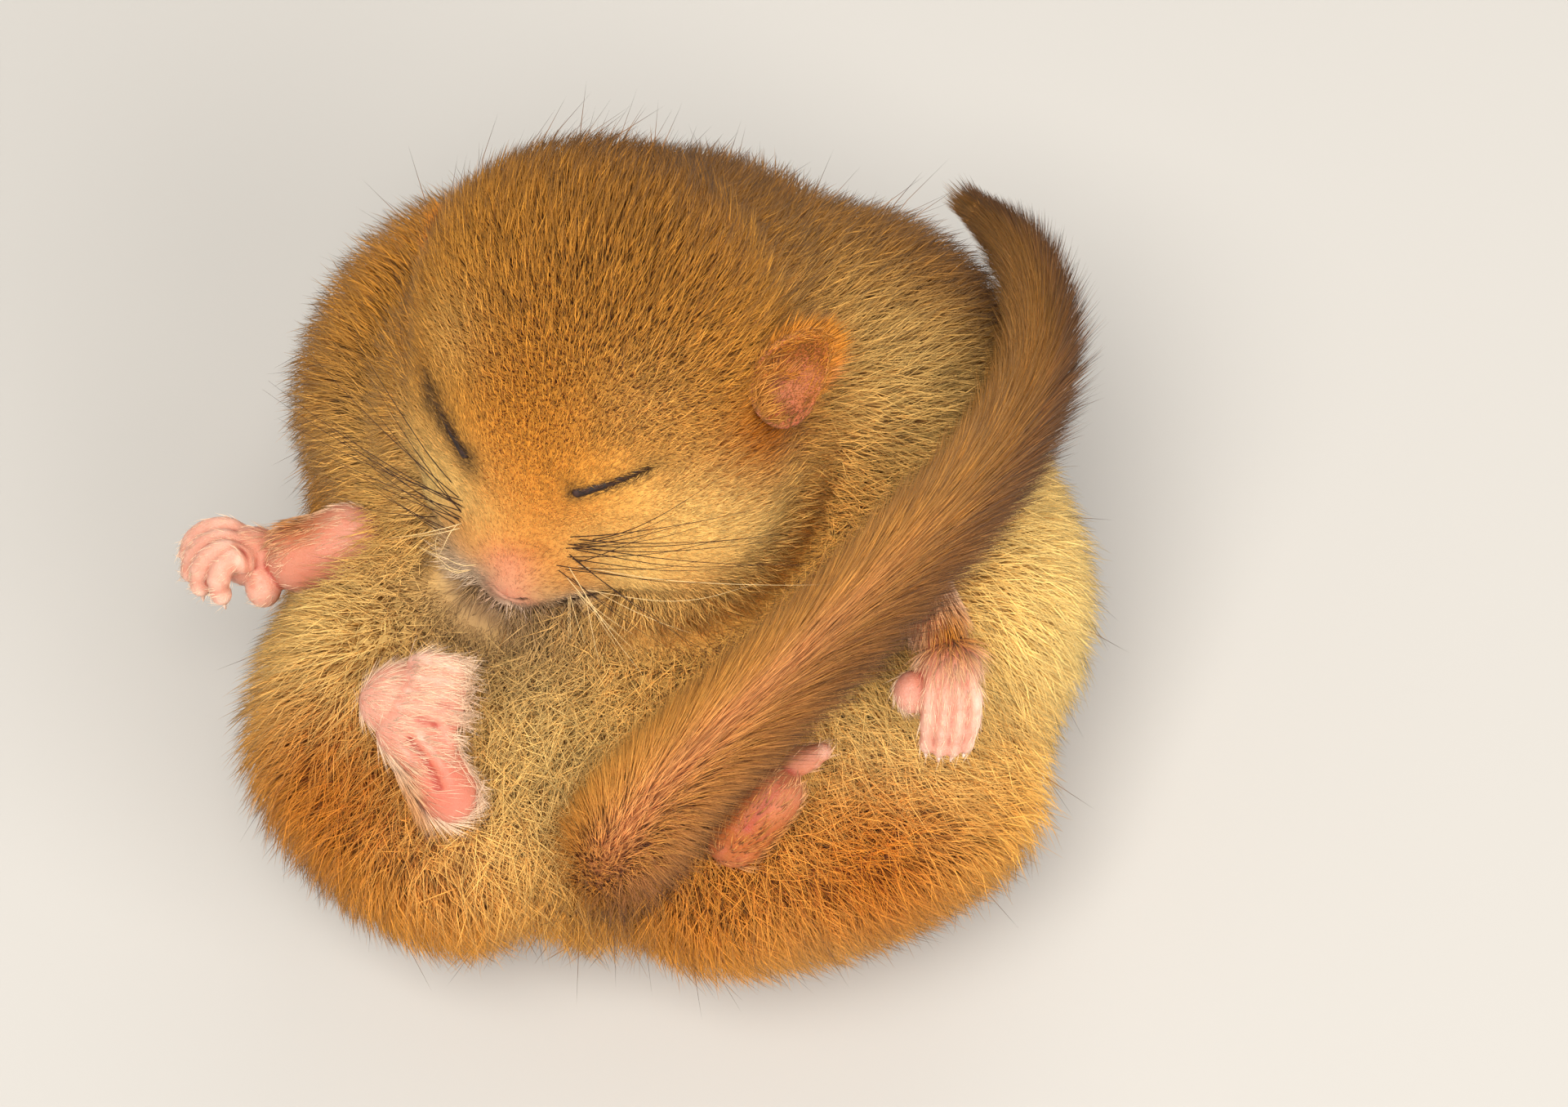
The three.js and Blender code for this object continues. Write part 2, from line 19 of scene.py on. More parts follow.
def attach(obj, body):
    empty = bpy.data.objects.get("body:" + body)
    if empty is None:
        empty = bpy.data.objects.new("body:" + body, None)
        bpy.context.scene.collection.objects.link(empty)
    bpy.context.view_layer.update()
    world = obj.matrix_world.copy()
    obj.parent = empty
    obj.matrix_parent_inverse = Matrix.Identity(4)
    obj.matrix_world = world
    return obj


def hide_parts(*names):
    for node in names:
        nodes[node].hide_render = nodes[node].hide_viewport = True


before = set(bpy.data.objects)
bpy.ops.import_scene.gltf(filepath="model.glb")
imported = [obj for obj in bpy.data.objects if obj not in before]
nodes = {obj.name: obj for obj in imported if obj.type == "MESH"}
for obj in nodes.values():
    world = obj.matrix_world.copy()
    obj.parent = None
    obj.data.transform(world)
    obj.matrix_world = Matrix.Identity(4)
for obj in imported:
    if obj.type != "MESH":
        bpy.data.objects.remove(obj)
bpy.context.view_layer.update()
print("nodes:", len(nodes))

# %% [markdown]
# ## The sleeper's own axes
#
# The animal lies curled on its back and leans away from us, so its forms are easier to describe in axes of
# its own: x to its left, y from rump to crown, z out of its belly, in millimetres. Two small functions
# change between those axes and the model's frame in metres.

# %% Axes of the curl
MM = 0.001
LEAN = math.radians(25)
CURL_MIDDLE = np.array([1.081, 1.542, 17.0])
CURL_AXES = np.array([
    [1, 0, 0],
    [0, math.cos(LEAN), math.sin(LEAN)],
    [0, -math.sin(LEAN), math.cos(LEAN)],
])


def to_frame(places):
    """Millimetres in the curl's axes, turned into metres in the model's frame."""
    return (np.asarray(places, float) @ CURL_AXES + CURL_MIDDLE) * MM


def to_curl(places):
    """Metres in the model's frame, turned into millimetres in the curl's axes."""
    return (np.asarray(places, float) / MM - CURL_MIDDLE) @ CURL_AXES.T


def unit(arrows):
    return arrows / np.maximum(np.linalg.norm(arrows, axis=-1, keepdims=True), 1e-9)


def ease(low, high, x):
    """A smooth step from 0 at low to 1 at high."""
    t = np.clip((x - low) / (high - low), 0, 1)
    return t * t * (3 - 2 * t)


# %% [markdown]
# ## The camera, floor and light
#
# The photograph looks down on the animal along its belly's own axis, so the camera stands on the z axis of
# the curl. One long lens keeps the perspective as gentle as a close-up's. The floor is plain and pale. One
# large soft light stands near the camera, a little to its left, a weaker one fills the shade from the right,
# and a third, behind the crown, gives the edge of the fur a faint rim.

# %% Camera
CAMERA_AWAY = 280
CAMERA_AIM = (7.33, 0.28)
SENSOR = 36
SEEN_WIDTH = 98.46

camera = bpy.data.objects.new("camera", bpy.data.cameras.new("camera"))
bpy.context.collection.objects.link(camera)
camera.data.sensor_width = SENSOR
camera.data.lens = SENSOR * CAMERA_AWAY / SEEN_WIDTH
camera.data.clip_start = 0.01
camera.location = to_frame([*CAMERA_AIM, CAMERA_AWAY])
camera.rotation_euler = (LEAN, 0, 0)
bpy.context.scene.camera = camera

# %% Floor and studio light
FLOOR_SPAN = 3.0

floor_mesh = bpy.data.meshes.new("floor")
half = FLOOR_SPAN / 2
floor_mesh.from_pydata(
    [(-half, -half, 0), (half, -half, 0), (half, half, 0), (-half, half, 0)], [], [(0, 1, 2, 3)])
floor = bpy.data.objects.new("floor", floor_mesh)
bpy.context.collection.objects.link(floor)
floor_paint = bpy.data.materials.new("pale floor")
floor_paint.use_nodes = True
floor_shader = floor_paint.node_tree.nodes["Principled BSDF"]
floor_shader.inputs["Base Color"].default_value = (0.5, 0.485, 0.46, 1)
floor_shader.inputs["Roughness"].default_value = 0.85
floor_mesh.materials.append(floor_paint)


def soft_light(name, place, size, watts, colour):
    """A square lamp at a place in metres, turned to the sleeping animal."""
    lamp = bpy.data.objects.new(name, bpy.data.lights.new(name, "AREA"))
    bpy.context.collection.objects.link(lamp)
    lamp.location = place
    lamp.rotation_euler = (Vector((0, 0, 0.02)) - Vector(place)).to_track_quat("-Z", "Y").to_euler()
    lamp.data.size = size
    lamp.data.energy = watts
    lamp.data.color = colour


soft_light("window", (-0.1, -0.22, 0.62), 0.4, 4.9, (1.0, 0.96, 0.9))
soft_light("fill", (0.42, -0.4, 0.36), 0.5, 3.4, (1.0, 0.97, 0.93))
soft_light("back", (0.15, 0.6, 0.35), 0.4, 1.2, (1.0, 0.96, 0.9))

world = bpy.data.worlds.new("studio")
world.use_nodes = True
world.node_tree.nodes["Background"].inputs["Color"].default_value = (1.0, 0.98, 0.96, 1)
world.node_tree.nodes["Background"].inputs["Strength"].default_value = 0.36
bpy.context.scene.world = world
bpy.context.scene.view_settings.view_transform = "Standard"
print("camera lens", round(camera.data.lens, 1), "mm")

# %% [markdown]
# ## Clay tools
#
# A few helpers work on plain arrays of points and triangles, which is fast and easy to read. `remeshed`
# hands a rough shape to Blender's voxel remesh, which fuses all that overlaps into one even surface.
# `relax` moves each point towards its neighbours, like a thumb over clay.

# %% Surfaces as arrays


def vertex_normals(places, triangles):
    a, b, c = (places[triangles[:, corner]] for corner in range(3))
    facing = np.cross(b - a, c - a)
    total = np.zeros_like(places)
    for corner in range(3):
        for axis in range(3):
            total[:, axis] += np.bincount(triangles[:, corner], facing[:, axis], len(places))
    return unit(total)


def mesh_arrays(mesh):
    places = np.empty(len(mesh.vertices) * 3, np.float32)
    mesh.vertices.foreach_get("co", places)
    mesh.calc_loop_triangles()
    triangles = np.empty(len(mesh.loop_triangles) * 3, np.int32)
    mesh.loop_triangles.foreach_get("vertices", triangles)
    return places.reshape(-1, 3).astype(float), triangles.reshape(-1, 3)


def weld(places, triangles):
    """Points at one place become one point, and flat scraps are dropped."""
    kept, index = np.unique(np.round(places, 3), axis=0, return_inverse=True)
    joined = index.reshape(-1)[triangles]
    a, b, c = joined.T
    return kept, joined[(a != b) & (b != c) & (c != a)]


# %% Fuse, smooth and join shapes


def remeshed(places, triangles, voxel):
    mesh = bpy.data.meshes.new("clay")
    mesh.from_pydata(places.tolist(), [], triangles.tolist())
    clay = bpy.data.objects.new("clay", mesh)
    bpy.context.collection.objects.link(clay)
    change = clay.modifiers.new("voxels", "REMESH")
    change.mode = "VOXEL"
    change.voxel_size = voxel
    done = clay.evaluated_get(bpy.context.evaluated_depsgraph_get())
    arrays = mesh_arrays(done.to_mesh())
    done.to_mesh_clear()
    bpy.data.objects.remove(clay)
    bpy.data.meshes.remove(mesh)
    return arrays


def relax(values, triangles, times):
    """Each point's values move half way to the mean of its neighbours' values, some times over."""
    ends = np.concatenate([triangles[:, [0, 1]], triangles[:, [1, 2]], triangles[:, [2, 0]]])
    near = np.concatenate([ends[:, 0], ends[:, 1]])
    far = np.concatenate([ends[:, 1], ends[:, 0]])
    count = np.maximum(np.bincount(near, minlength=len(values)), 1)
    for _ in range(times):
        mean = np.stack([np.bincount(near, values[far, k], len(values)) for k in range(values.shape[1])], 1)
        values = values + (mean / count[:, None] - values) * 0.5
    return values


def stack(shapes):
    """Several shapes, each places and triangles, laid into one pair of arrays."""
    places, triangles, start = [], [], 0
    for some_places, some_triangles in shapes:
        places.append(some_places)
        triangles.append(some_triangles + start)
        start += len(some_places)
    return np.concatenate(places), np.concatenate(triangles)


# %% Smooth lines, limbs and lumps


def smooth_line(points, steps):
    """Places and directions along a smooth curve through the points, at steps from 0 to 1."""
    points = np.array(points, float)
    ends = np.vstack([2 * points[0] - points[1], points, 2 * points[-1] - points[-2]])
    t = np.asarray(steps) * (len(points) - 1)
    first = np.minimum(t.astype(int), len(points) - 2)
    u = (t - first)[:, None]
    a, b, c, d = (ends[first + step] for step in range(4))
    places = b + ((c - a) * u + (2 * a - 5 * b + 4 * c - d) * u ** 2 + (3 * b - a - 3 * c + d) * u ** 3) / 2
    return places, unit(np.gradient(places, axis=0))


def ringed(first, rings, last):
    """A closed surface from a point through rings of places (rings, sides, 3) to a last point."""
    count, sides, _ = rings.shape
    places = np.concatenate([[first], rings.reshape(-1, 3), [last]])
    side = np.arange(sides)
    after = (side + 1) % sides
    low = 1 + np.arange(count - 1)[:, None] * sides
    one = np.stack([low + side, low + sides + side, low + sides + after], -1).reshape(-1, 3)
    two = np.stack([low + side, low + sides + after, low + after], -1).reshape(-1, 3)
    start = np.stack([np.zeros_like(side), 1 + side, 1 + after], 1)
    top = 1 + (count - 1) * sides
    end = np.stack([top + after, top + side, np.full_like(side, len(places) - 1)], 1)
    return places, np.concatenate([start, one, two, end])


def limb(points, widths, sides, rings):
    """A rounded tube along a smooth line; its half widths are spread evenly along it."""
    share = np.linspace(0, 1, rings)
    steps = (1 - np.cos(share * math.pi)) / 2
    places, ahead = smooth_line(points, steps)
    across = unit(np.cross(ahead, (0, 0, 1)))
    out = np.cross(across, ahead)
    wide = np.interp(steps, np.linspace(0, 1, len(widths)), widths)
    run = np.append(0, np.cumsum(np.linalg.norm(np.diff(places, axis=0), axis=1)))
    room = np.clip(np.minimum(run, run[-1] - run) / wide, 0, 1)
    wide = wide * np.sqrt(1 - (1 - room) ** 2)
    turn = np.arange(sides)[:, None] / sides * 2 * math.pi
    arms = across[:, None] * np.cos(turn) + out[:, None] * np.sin(turn)
    return ringed(places[0], (places[:, None] + arms * wide[:, None, None])[1:-1], places[-1])


def egg(place, size, turn=0):
    """A rounded lump with three half widths, turned about z by some degrees."""
    ball, triangles = limb([[-1, 0, 0], [1, 0, 0]], [1, 1], 20, 14)
    c, s = math.cos(math.radians(turn)), math.sin(math.radians(turn))
    spin = np.array([[c, s, 0], [-s, c, 0], [0, 0, 1]])
    return ball * size @ spin + place, triangles


# %% Distances and folds


def off_line(places, line, samples=60):
    """How far each place is from a smooth line."""
    marks, _ = smooth_line(line, np.linspace(0, 1, samples))
    return np.sqrt(((places[:, None] - marks) ** 2).sum(2).min(1))


def hollowness(places, triangles, times):
    """Above 0 in folds and below 0 on ridges, in millimetres."""
    normals = vertex_normals(places, triangles)
    return ((relax(places, triangles, times) - places) * normals).sum(1)


# %% Visible pieces and what is kept on them


def new_piece(name, places, faces, material):
    """A visible piece from places in the curl's axes and arrays of faces with three or four corners."""
    corners = np.concatenate([part.ravel() for part in faces]).astype(np.int32)
    sizes = np.concatenate([np.full(len(part), part.shape[1]) for part in faces])
    mesh = bpy.data.meshes.new(name)
    mesh.vertices.add(len(places))
    mesh.vertices.foreach_set("co", to_frame(places).astype(np.float32).ravel())
    mesh.loops.add(len(corners))
    mesh.loops.foreach_set("vertex_index", corners)
    mesh.polygons.add(len(sizes))
    mesh.polygons.foreach_set("loop_start", np.concatenate([[0], np.cumsum(sizes)[:-1]]).astype(np.int32))
    mesh.polygons.foreach_set("use_smooth", np.ones(len(sizes), bool))
    mesh.update(calc_edges=True)
    mesh.materials.append(material)
    piece = bpy.data.objects.new(name, mesh)
    bpy.context.collection.objects.link(piece)
    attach(piece, "root")
    return piece


def paint(piece, **values):
    """Values for each point, kept on the mesh so that the materials can read them."""
    for name, value in values.items():
        layer = piece.data.attributes.new(name, "FLOAT", "POINT")
        layer.data.foreach_set("value", np.ascontiguousarray(value, np.float32))


# %% [markdown]
# ## Where things lie on the head
#
# The head is turned: the nose swings to the right foot and the left cheek comes up. Its own axes run
# forward, left and up from the middle of the skull, so eyes, nose and whiskers are placed on a straight head
# and the turn is added by two functions.

# %% Axes of the head
HEAD_PLACE = np.array([-4.9, 12.6, 14.5])
HEAD_TILT, HEAD_DIP, HEAD_ROLL = (math.radians(angle) for angle in (17.3, 8.9, 10.5))

ahead = np.array([
    -math.sin(HEAD_TILT) * math.cos(HEAD_DIP),
    -math.cos(HEAD_TILT) * math.cos(HEAD_DIP),
    -math.sin(HEAD_DIP),
])
level_up = unit(np.array([0, 0, 1]) + math.sin(HEAD_DIP) * ahead)
head_up = level_up * math.cos(HEAD_ROLL) + np.cross(ahead, level_up) * math.sin(HEAD_ROLL)
HEAD_AXES = np.stack([ahead, np.cross(head_up, ahead), head_up])


def on_head(places):
    return np.asarray(places, float) @ HEAD_AXES + HEAD_PLACE


def to_head(places):
    return (places - HEAD_PLACE) @ HEAD_AXES.T


NOSE = on_head([16.2, 0, -1.2])
print("nose tip at", NOSE.round(1))

# %% [markdown]
# ## One skin
#
# A real dormouse has no seams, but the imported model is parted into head, neck, shoulders, trunk and thighs.
# The parts are swollen a little so that they touch, fused by a voxel remesh and relaxed. Then each point
# sinks by the depth of the coat there: three millimetres on the body, under half a millimetre on the muzzle,
# almost nothing on the nose and under the back, where the weight presses the fur flat. The closed lids go
# into the same skin, so the eyes swell softly under it. Pads of soft clay widen the muzzle where the whiskers
# grow, two small wings shape the nostrils, and one more lump fills the rump round the root of the tail.

# %% Depths of the coat, and the clay added to the flesh
FLESH = ["head", "neck", "shoulder_left", "shoulder_right", "torso", "thigh_left", "thigh_right"]
SWELL = 0.25
ROUGH_VOXEL = 0.45
SKIN_VOXEL = 0.34
BODY_COAT = 3.0
HEAD_COAT = ([-12, -4, 2, 7, 11, 15, 17], [2.5, 2.2, 1.4, 0.7, 0.4, 0.25, 0.12])


def swollen(name):
    places, triangles = mesh_arrays(nodes[name].data)
    places, triangles = weld(to_curl(places), triangles)
    return places + vertex_normals(places, triangles) * SWELL, triangles


def height_over_floor(places):
    return to_frame(places)[:, 2] / MM


def nearest_distance(tree, places):
    return np.array([tree.find_nearest(place)[3] for place in places.tolist()])


def tree_of(places, triangles):
    return BVHTree.FromPolygons(places.tolist(), triangles.tolist())


EYE_INNER, EYE_OUTER = np.array([7.8, 3.43, 4.8]), np.array([5.1, 7.0, 3.2])
FACE_PADS = [
    ([15.9, 0.85, -2.0], [0.9, 0.8, 0.75]),
    ([12.9, 0.4, -0.9], [4.4, 1.9, 2.5]),
    ([11.4, 0.4, 0.2], [3.6, 2.2, 2.7]),
    ([13.2, 2.2, -1.5], [3.4, 2.4, 2.3]),
    ([10.4, 3.7, -1.0], [4.0, 2.8, 2.8]),
]
RUMP = ([-4.8, -20.4, 2.2], [5.8, 4.8, 6.6])


def near_eyes(places):
    """1 on the closed eyes, fading to 0 a few millimetres away."""
    head = to_head(places)
    head[:, 1] = np.abs(head[:, 1])
    away = np.linalg.norm(head - (EYE_INNER + EYE_OUTER) / 2, axis=1)
    return ease(4.2, 1.6, away)


def coat_depth(places, head_share):
    on_the_head = np.interp(to_head(places)[:, 0], *HEAD_COAT) * (1 - 0.6 * near_eyes(places))
    depth = on_the_head * head_share + BODY_COAT * (1 - head_share)
    return depth * (0.12 + 0.88 * ease(0, 5, height_over_floor(places)))


# %% Fuse, sink and smooth
pads = [egg(on_head(np.array(place) * [1, side, 1]), size) for place, size in FACE_PADS for side in (1, -1)]
lids = [swollen("eyelids_left"), swollen("eyelids_right")]
flesh = [swollen(name) for name in FLESH]
fused, fused_triangles = remeshed(*stack(flesh + lids + pads + [egg(*RUMP)]), ROUGH_VOXEL)
fused = relax(fused, fused_triangles, 6)
head_tree = tree_of(*stack([flesh[0], *pads]))
body_tree = tree_of(*stack(flesh[1:]))
head_share = (nearest_distance(head_tree, fused) < nearest_distance(body_tree, fused)).astype(float)
head_share = relax(head_share[:, None], fused_triangles, 12)[:, 0]
sink = coat_depth(fused, head_share) + SWELL
sunk = fused - relax(vertex_normals(fused, fused_triangles), fused_triangles, 4) * sink[:, None]
skin, skin_triangles = remeshed(relax(sunk, fused_triangles, 2), fused_triangles, SKIN_VOXEL)
skin = relax(skin, skin_triangles, 3)
print("skin triangles", len(skin_triangles))

# %% [markdown]
# ## Lids, mouth and nostrils
#
# The fine lines of the face are pressed into the skin, which is cut finer round them first so that each
# groove stays crisp. The closed eye is a thin slit that rises to the back; its line is dropped straight down
# on the skin, away from the camera. The mouth runs under the muzzle and each nostril is a short comma; their
# lines move to the nearest skin, because from above they would land on top of the muzzle.

# %% Lines of the face and how to press them in
SLIT_BOW = 0.35
MOUTH = [[11.4, 5.6, -4.0], [14.2, 4.4, -3.9], [16.9, 0, -3.9], [14.2, -4.4, -3.9], [11.4, -5.6, -4.0]]
NOSTRIL = [[17.3, 0.4, -0.7], [17.1, 0.9, -0.6], [16.7, 1.3, -0.4]]
PHILTRUM = [[17.0, 0, -1.7], [16.6, 0, -2.6], [16.0, 0, -3.5]]


def refined(places, triangles, chosen):
    """The same surface, with every edge between chosen points cut in two."""
    mesh = bpy.data.meshes.new("clay")
    mesh.from_pydata(places.tolist(), [], triangles.tolist())
    clay = bmesh.new()
    clay.from_mesh(mesh)
    edges = [edge for edge in clay.edges if all(chosen[point.index] for point in edge.verts)]
    bmesh.ops.subdivide_edges(clay, edges=edges, cuts=1, use_grid_fill=True)
    bmesh.ops.triangulate(clay, faces=clay.faces)
    clay.to_mesh(mesh)
    clay.free()
    arrays = mesh_arrays(mesh)
    bpy.data.meshes.remove(mesh)
    return arrays


def laid_down(line):
    """A line of places moved down, away from us, until it lies on the skin."""
    tree = tree_of(skin, skin_triangles)
    places, _ = smooth_line(line, np.linspace(0, 1, 5))
    above = Vector((0, 0, 6))
    down = Vector((0, 0, -1))
    return np.array([tree.ray_cast(Vector(place) + above, down)[0] for place in places])


def drawn_in(line):
    """A line of places moved to the nearest point of the skin."""
    tree = tree_of(skin, skin_triangles)
    places, _ = smooth_line(line, np.linspace(0, 1, 13))
    return np.array([tree.find_nearest(Vector(place))[0] for place in places])


def eye_line(side):
    share = np.linspace(0, 1, 5)[:, None]
    line = EYE_INNER + (EYE_OUTER - EYE_INNER) * share
    line = line + np.array([0.5, 0.1, -1]) * SLIT_BOW * np.sin(share * math.pi)
    return laid_down(on_head(line * [1, side, 1]))


def pressed(places, triangles, line, deep, wide):
    share = np.exp(-(off_line(places, line) / wide) ** 2)
    return places - vertex_normals(places, triangles) * (share * deep)[:, None]


# %% Press them in
EYE_LINES = {"left": eye_line(1), "right": eye_line(-1)}
mouth_line = drawn_in(on_head(MOUTH))
nose_lines = [drawn_in(on_head(np.array(NOSTRIL) * [1, side, 1])) for side in (1, -1)]
philtrum = drawn_in(on_head(PHILTRUM))
face_lines = [*EYE_LINES.values(), mouth_line, *nose_lines, philtrum]
for reach in (1.8, 0.9):
    near_lines = np.min([off_line(skin, line) for line in face_lines], axis=0) < reach
    skin, skin_triangles = refined(skin, skin_triangles, near_lines)
skin = relax(skin, skin_triangles, 1)
skin_plain = skin.copy()
grooves = [(line, 0.3, 0.26) for line in EYE_LINES.values()]
grooves.append((mouth_line, 0.5, 0.4))
grooves += [(line, 0.4, 0.24) for line in nose_lines]
grooves.append((philtrum, 0.2, 0.18))
for line, deep, wide in grooves:
    skin = pressed(skin, skin_triangles, line, deep, wide)
skin_tree = tree_of(skin, skin_triangles)
print("skin triangles with fine lines", len(skin_triangles))

# %% [markdown]
# ## Markings
#
# A dormouse is golden brown above, creamy below, orange on the muzzle and in the folds, and pink where the
# skin is bare. Skin and fur must agree, so the markings are soft round patches in the curl's axes, and one
# function turns any place into the share of each colour there. The patches overlap like washes of paint.
# White marks the lip's edge, rosy the nose, and ink the dark fur at the corners of the eyes. All grey and two
# of the brown patches are painted shadow over darker hair: under the chin, in a crease low on the belly and
# where the tail's root sinks between the thighs.

# %% Patches of colour
PATCHES = {
    "cream": [
        ([13, 11.5, 11], 7.0, 0.6), ([24, -4, 4], 9.5, 0.85), ([13, -11, 11], 7.0, 1.0),
        ([-8, -10.6, 12], 9.5, 0.95), ([-20, -5.8, 9], 7.0, 0.85), ([-11.9, -16.7, 10], 3.6, 0.6),
        ([9.3, -22, 7], 6.0, 0.35), ([-20.6, 6.1, 7], 6.0, 0.4), ([4.4, 1.6, 15], 5.0, 0.55),
        ([-12.5, 12.6, 19], 3.0, 0.35), ([-1, 8.6, 21], 3.5, 0.25), ([-2, -1.5, 14], 4.0, 0.85),
        ([2, 3, 16], 4.5, 0.45), ([21, 5, 6], 9.0, 0.7), ([-13.8, 2.5, 13], 5.0, 0.95),
        ([14, -8, 12], 6.0, 0.6),
    ],
    "brown": [
        # The first patch here, at the tail's root, and the one under the chin are painted shadow over darker
        # hair.
        ([-3.5, -19.5, 8], 3.2, 0.6), ([-2, 22, 13], 10.5, 0.6), ([18, 19, 5], 8.5, 0.95),
        ([-21, 12, 6], 6.0, 0.35), ([0, 26, 0], 13.0, 0.5), ([0, 4, -22], 20.0, 0.45),
        ([-12.8, 4, 18], 2.2, 0.1), ([-11.2, -3.6, 10.5], 2.8, 0.8), ([-4, 17, 22], 8.0, 0.25),
    ],
    "orange": [
        ([-8, 9, 21], 6.0, 0.25), ([-9, 2, 18.5], 4.5, 0.35), ([1, -2.3, 13], 3.6, 0.3),
        (on_head([13.4, 0.8, 1.2]), 2.8, 0.6), (on_head([13.2, -3.2, 0.2]), 2.4, 0.6),
        (on_head([13.6, 3.6, -0.6]), 2.2, 0.5), ([5.9, 7.9, 16], 3.4, 1.0), ([-19.6, -13.3, 9], 6.5, 0.85),
        ([12, -18.2, 9.5], 7.0, 0.85), ([-13.6, -20.3, 7], 5.0, 0.4), ([2, -20, 8], 6.0, 0.6),
    ],
    "grey_and_shadow": [
        # All grey is painted shadow over grey-brown hair, under the chin and in a crease low on the belly.
        ([-8, -4.7, 10], 4.2, 0.75), ([-11.5, -3.2, 10], 3.0, 0.85), ([-16, 0, 9.5], 3.6, 0.3),
        ([-6, -14, 11], 3.0, 0.6),
    ],
    "rosy": [(on_head([14.4, 0, 1.4]), 1.7, 0.7), (on_head([16.8, 0, -0.6]), 1.8, 0.95)],
    "ink": [
        (on_head([7.9, 3.5, 4.6]), 0.85, 0.75), (on_head([7.9, -3.5, 4.6]), 1.0, 0.85),
        (on_head([6.4, -5.3, 4.1]), 0.9, 0.55),
    ],
    "white": [
        (on_head([15.0, 3.2, -3.0]), 1.5, 0.5), (on_head([14.9, -3.0, -1.6]), 1.8, 0.6),
        (on_head([16.8, 0, -2.6]), 1.0, 0.5),
    ],
}


def markings(places):
    """The share of each colour at each place, from 0 to 1."""
    shares = {}
    for colour, patches in PATCHES.items():
        bare = np.ones(len(places))
        for middle, wide, strong in patches:
            away = np.linalg.norm(places - middle, axis=1) / wide
            bare *= 1 - strong * np.exp(-away * away)
        shares[colour] = 1 - bare
    return shares


# %% [markdown]
# ## Coat colour as a node group
#
# Both the skin and every kind of tuft mix the same colours, so the mix is one shader node group. It takes
# the shares of cream, brown, orange, grey, rosy, white and ink, how far along the hair a point is, how dark
# the tip is and a chance value that lets each hair differ a little. The brown and grey shares and the dark
# tips carry painted shade as well as the coat's own colour. Hairs darken towards their roots, where little
# light comes, but pale ones less so. It puts out one colour.

# %% Node helpers


def srgb(red, green, blue):
    """A colour as a screen shows it, turned into the linear values that a shader wants."""
    return [((value / 255 + 0.055) / 1.055) ** 2.4 for value in (red, green, blue)] + [1]


class Tree:
    """Short ways to add nodes and links to one node tree."""

    def __init__(self, tree):
        self.tree = tree

    def add(self, kind, settings=None, **inputs):
        node = self.tree.nodes.new(kind)
        for name, value in (settings or {}).items():
            setattr(node, name, value)
        for name, value in inputs.items():
            self.put(node.inputs[int(name[1:]) if name[0] == "_" else name.replace("_", " ")], value)
        return node

    def put(self, socket, value):
        if isinstance(value, bpy.types.NodeSocket):
            self.tree.links.new(value, socket)
        else:
            socket.default_value = value

    def blend(self, first, second, share, kind="MIX"):
        """Two colours mixed by a share."""
        node = self.add("ShaderNodeMix", {"data_type": "RGBA", "blend_type": kind})
        self.put(node.inputs[0], share)
        self.put(node.inputs[6], first)
        self.put(node.inputs[7], second)
        return node.outputs[2]

    def sum(self, kind, first, second):
        return self.add("ShaderNodeMath", {"operation": kind}, _0=first, _1=second).outputs[0]

    def span(self, value, low, high, to_low, to_high):
        """A value in one span, carried smoothly into another."""
        node = self.add("ShaderNodeMapRange", {"interpolation_type": "SMOOTHSTEP"})
        for socket, number in zip(node.inputs[:5], (value, low, high, to_low, to_high)):
            self.put(socket, number)
        return node.outputs[0]

    def kept(self, name):
        """A value that paint() kept on the mesh."""
        return self.add("ShaderNodeAttribute", {"attribute_name": name}).outputs["Fac"]


# %% New node groups


def new_group(name, inputs, outputs):
    group = bpy.data.node_groups.new(name, "ShaderNodeTree")
    for label in inputs:
        group.interface.new_socket(label, in_out="INPUT", socket_type="NodeSocketFloat")
    for label, kind in outputs.items():
        group.interface.new_socket(label, in_out="OUTPUT", socket_type=kind)
    tree = Tree(group)
    return group, tree, tree.add("NodeGroupInput").outputs, tree.add("NodeGroupOutput").inputs


# %% The coat colour group
SHARES = ["cream", "brown", "orange", "grey_and_shadow", "rosy", "white", "ink"]
COAT_INPUTS = SHARES + ["dark", "along", "chance"]
GOLD_ROOT = srgb(172, 108, 32)
GOLD_TIP = srgb(234, 164, 60)
CREAM = srgb(255, 224, 144)
ORANGE = srgb(202, 114, 4)
# The brown also paints shade under the chin, on the tail's shaded side and in the ear canals; the grey is
# painted shadow.
BROWN_AND_SHADE = srgb(132, 84, 38)
GREY_AND_SHADOW = srgb(150, 124, 98)
ROSY = srgb(240, 158, 132)
WHITE = srgb(255, 236, 210)
DARK_TIP = srgb(58, 38, 28)

coat_group, tree, given, result = new_group("coat colour", COAT_INPUTS, {"colour": "NodeSocketColor"})
colour = tree.blend(GOLD_ROOT, GOLD_TIP, tree.span(given["along"], 0, 0.6, 0, 1))
colour = tree.blend(colour, CREAM, given["cream"])
colour = tree.blend(colour, ORANGE, given["orange"])
colour = tree.blend(colour, BROWN_AND_SHADE, given["brown"])
colour = tree.blend(colour, GREY_AND_SHADOW, given["grey_and_shadow"])
colour = tree.blend(colour, ROSY, given["rosy"])
colour = tree.blend(colour, WHITE, given["white"])
colour = tree.blend(colour, DARK_TIP, given["ink"])
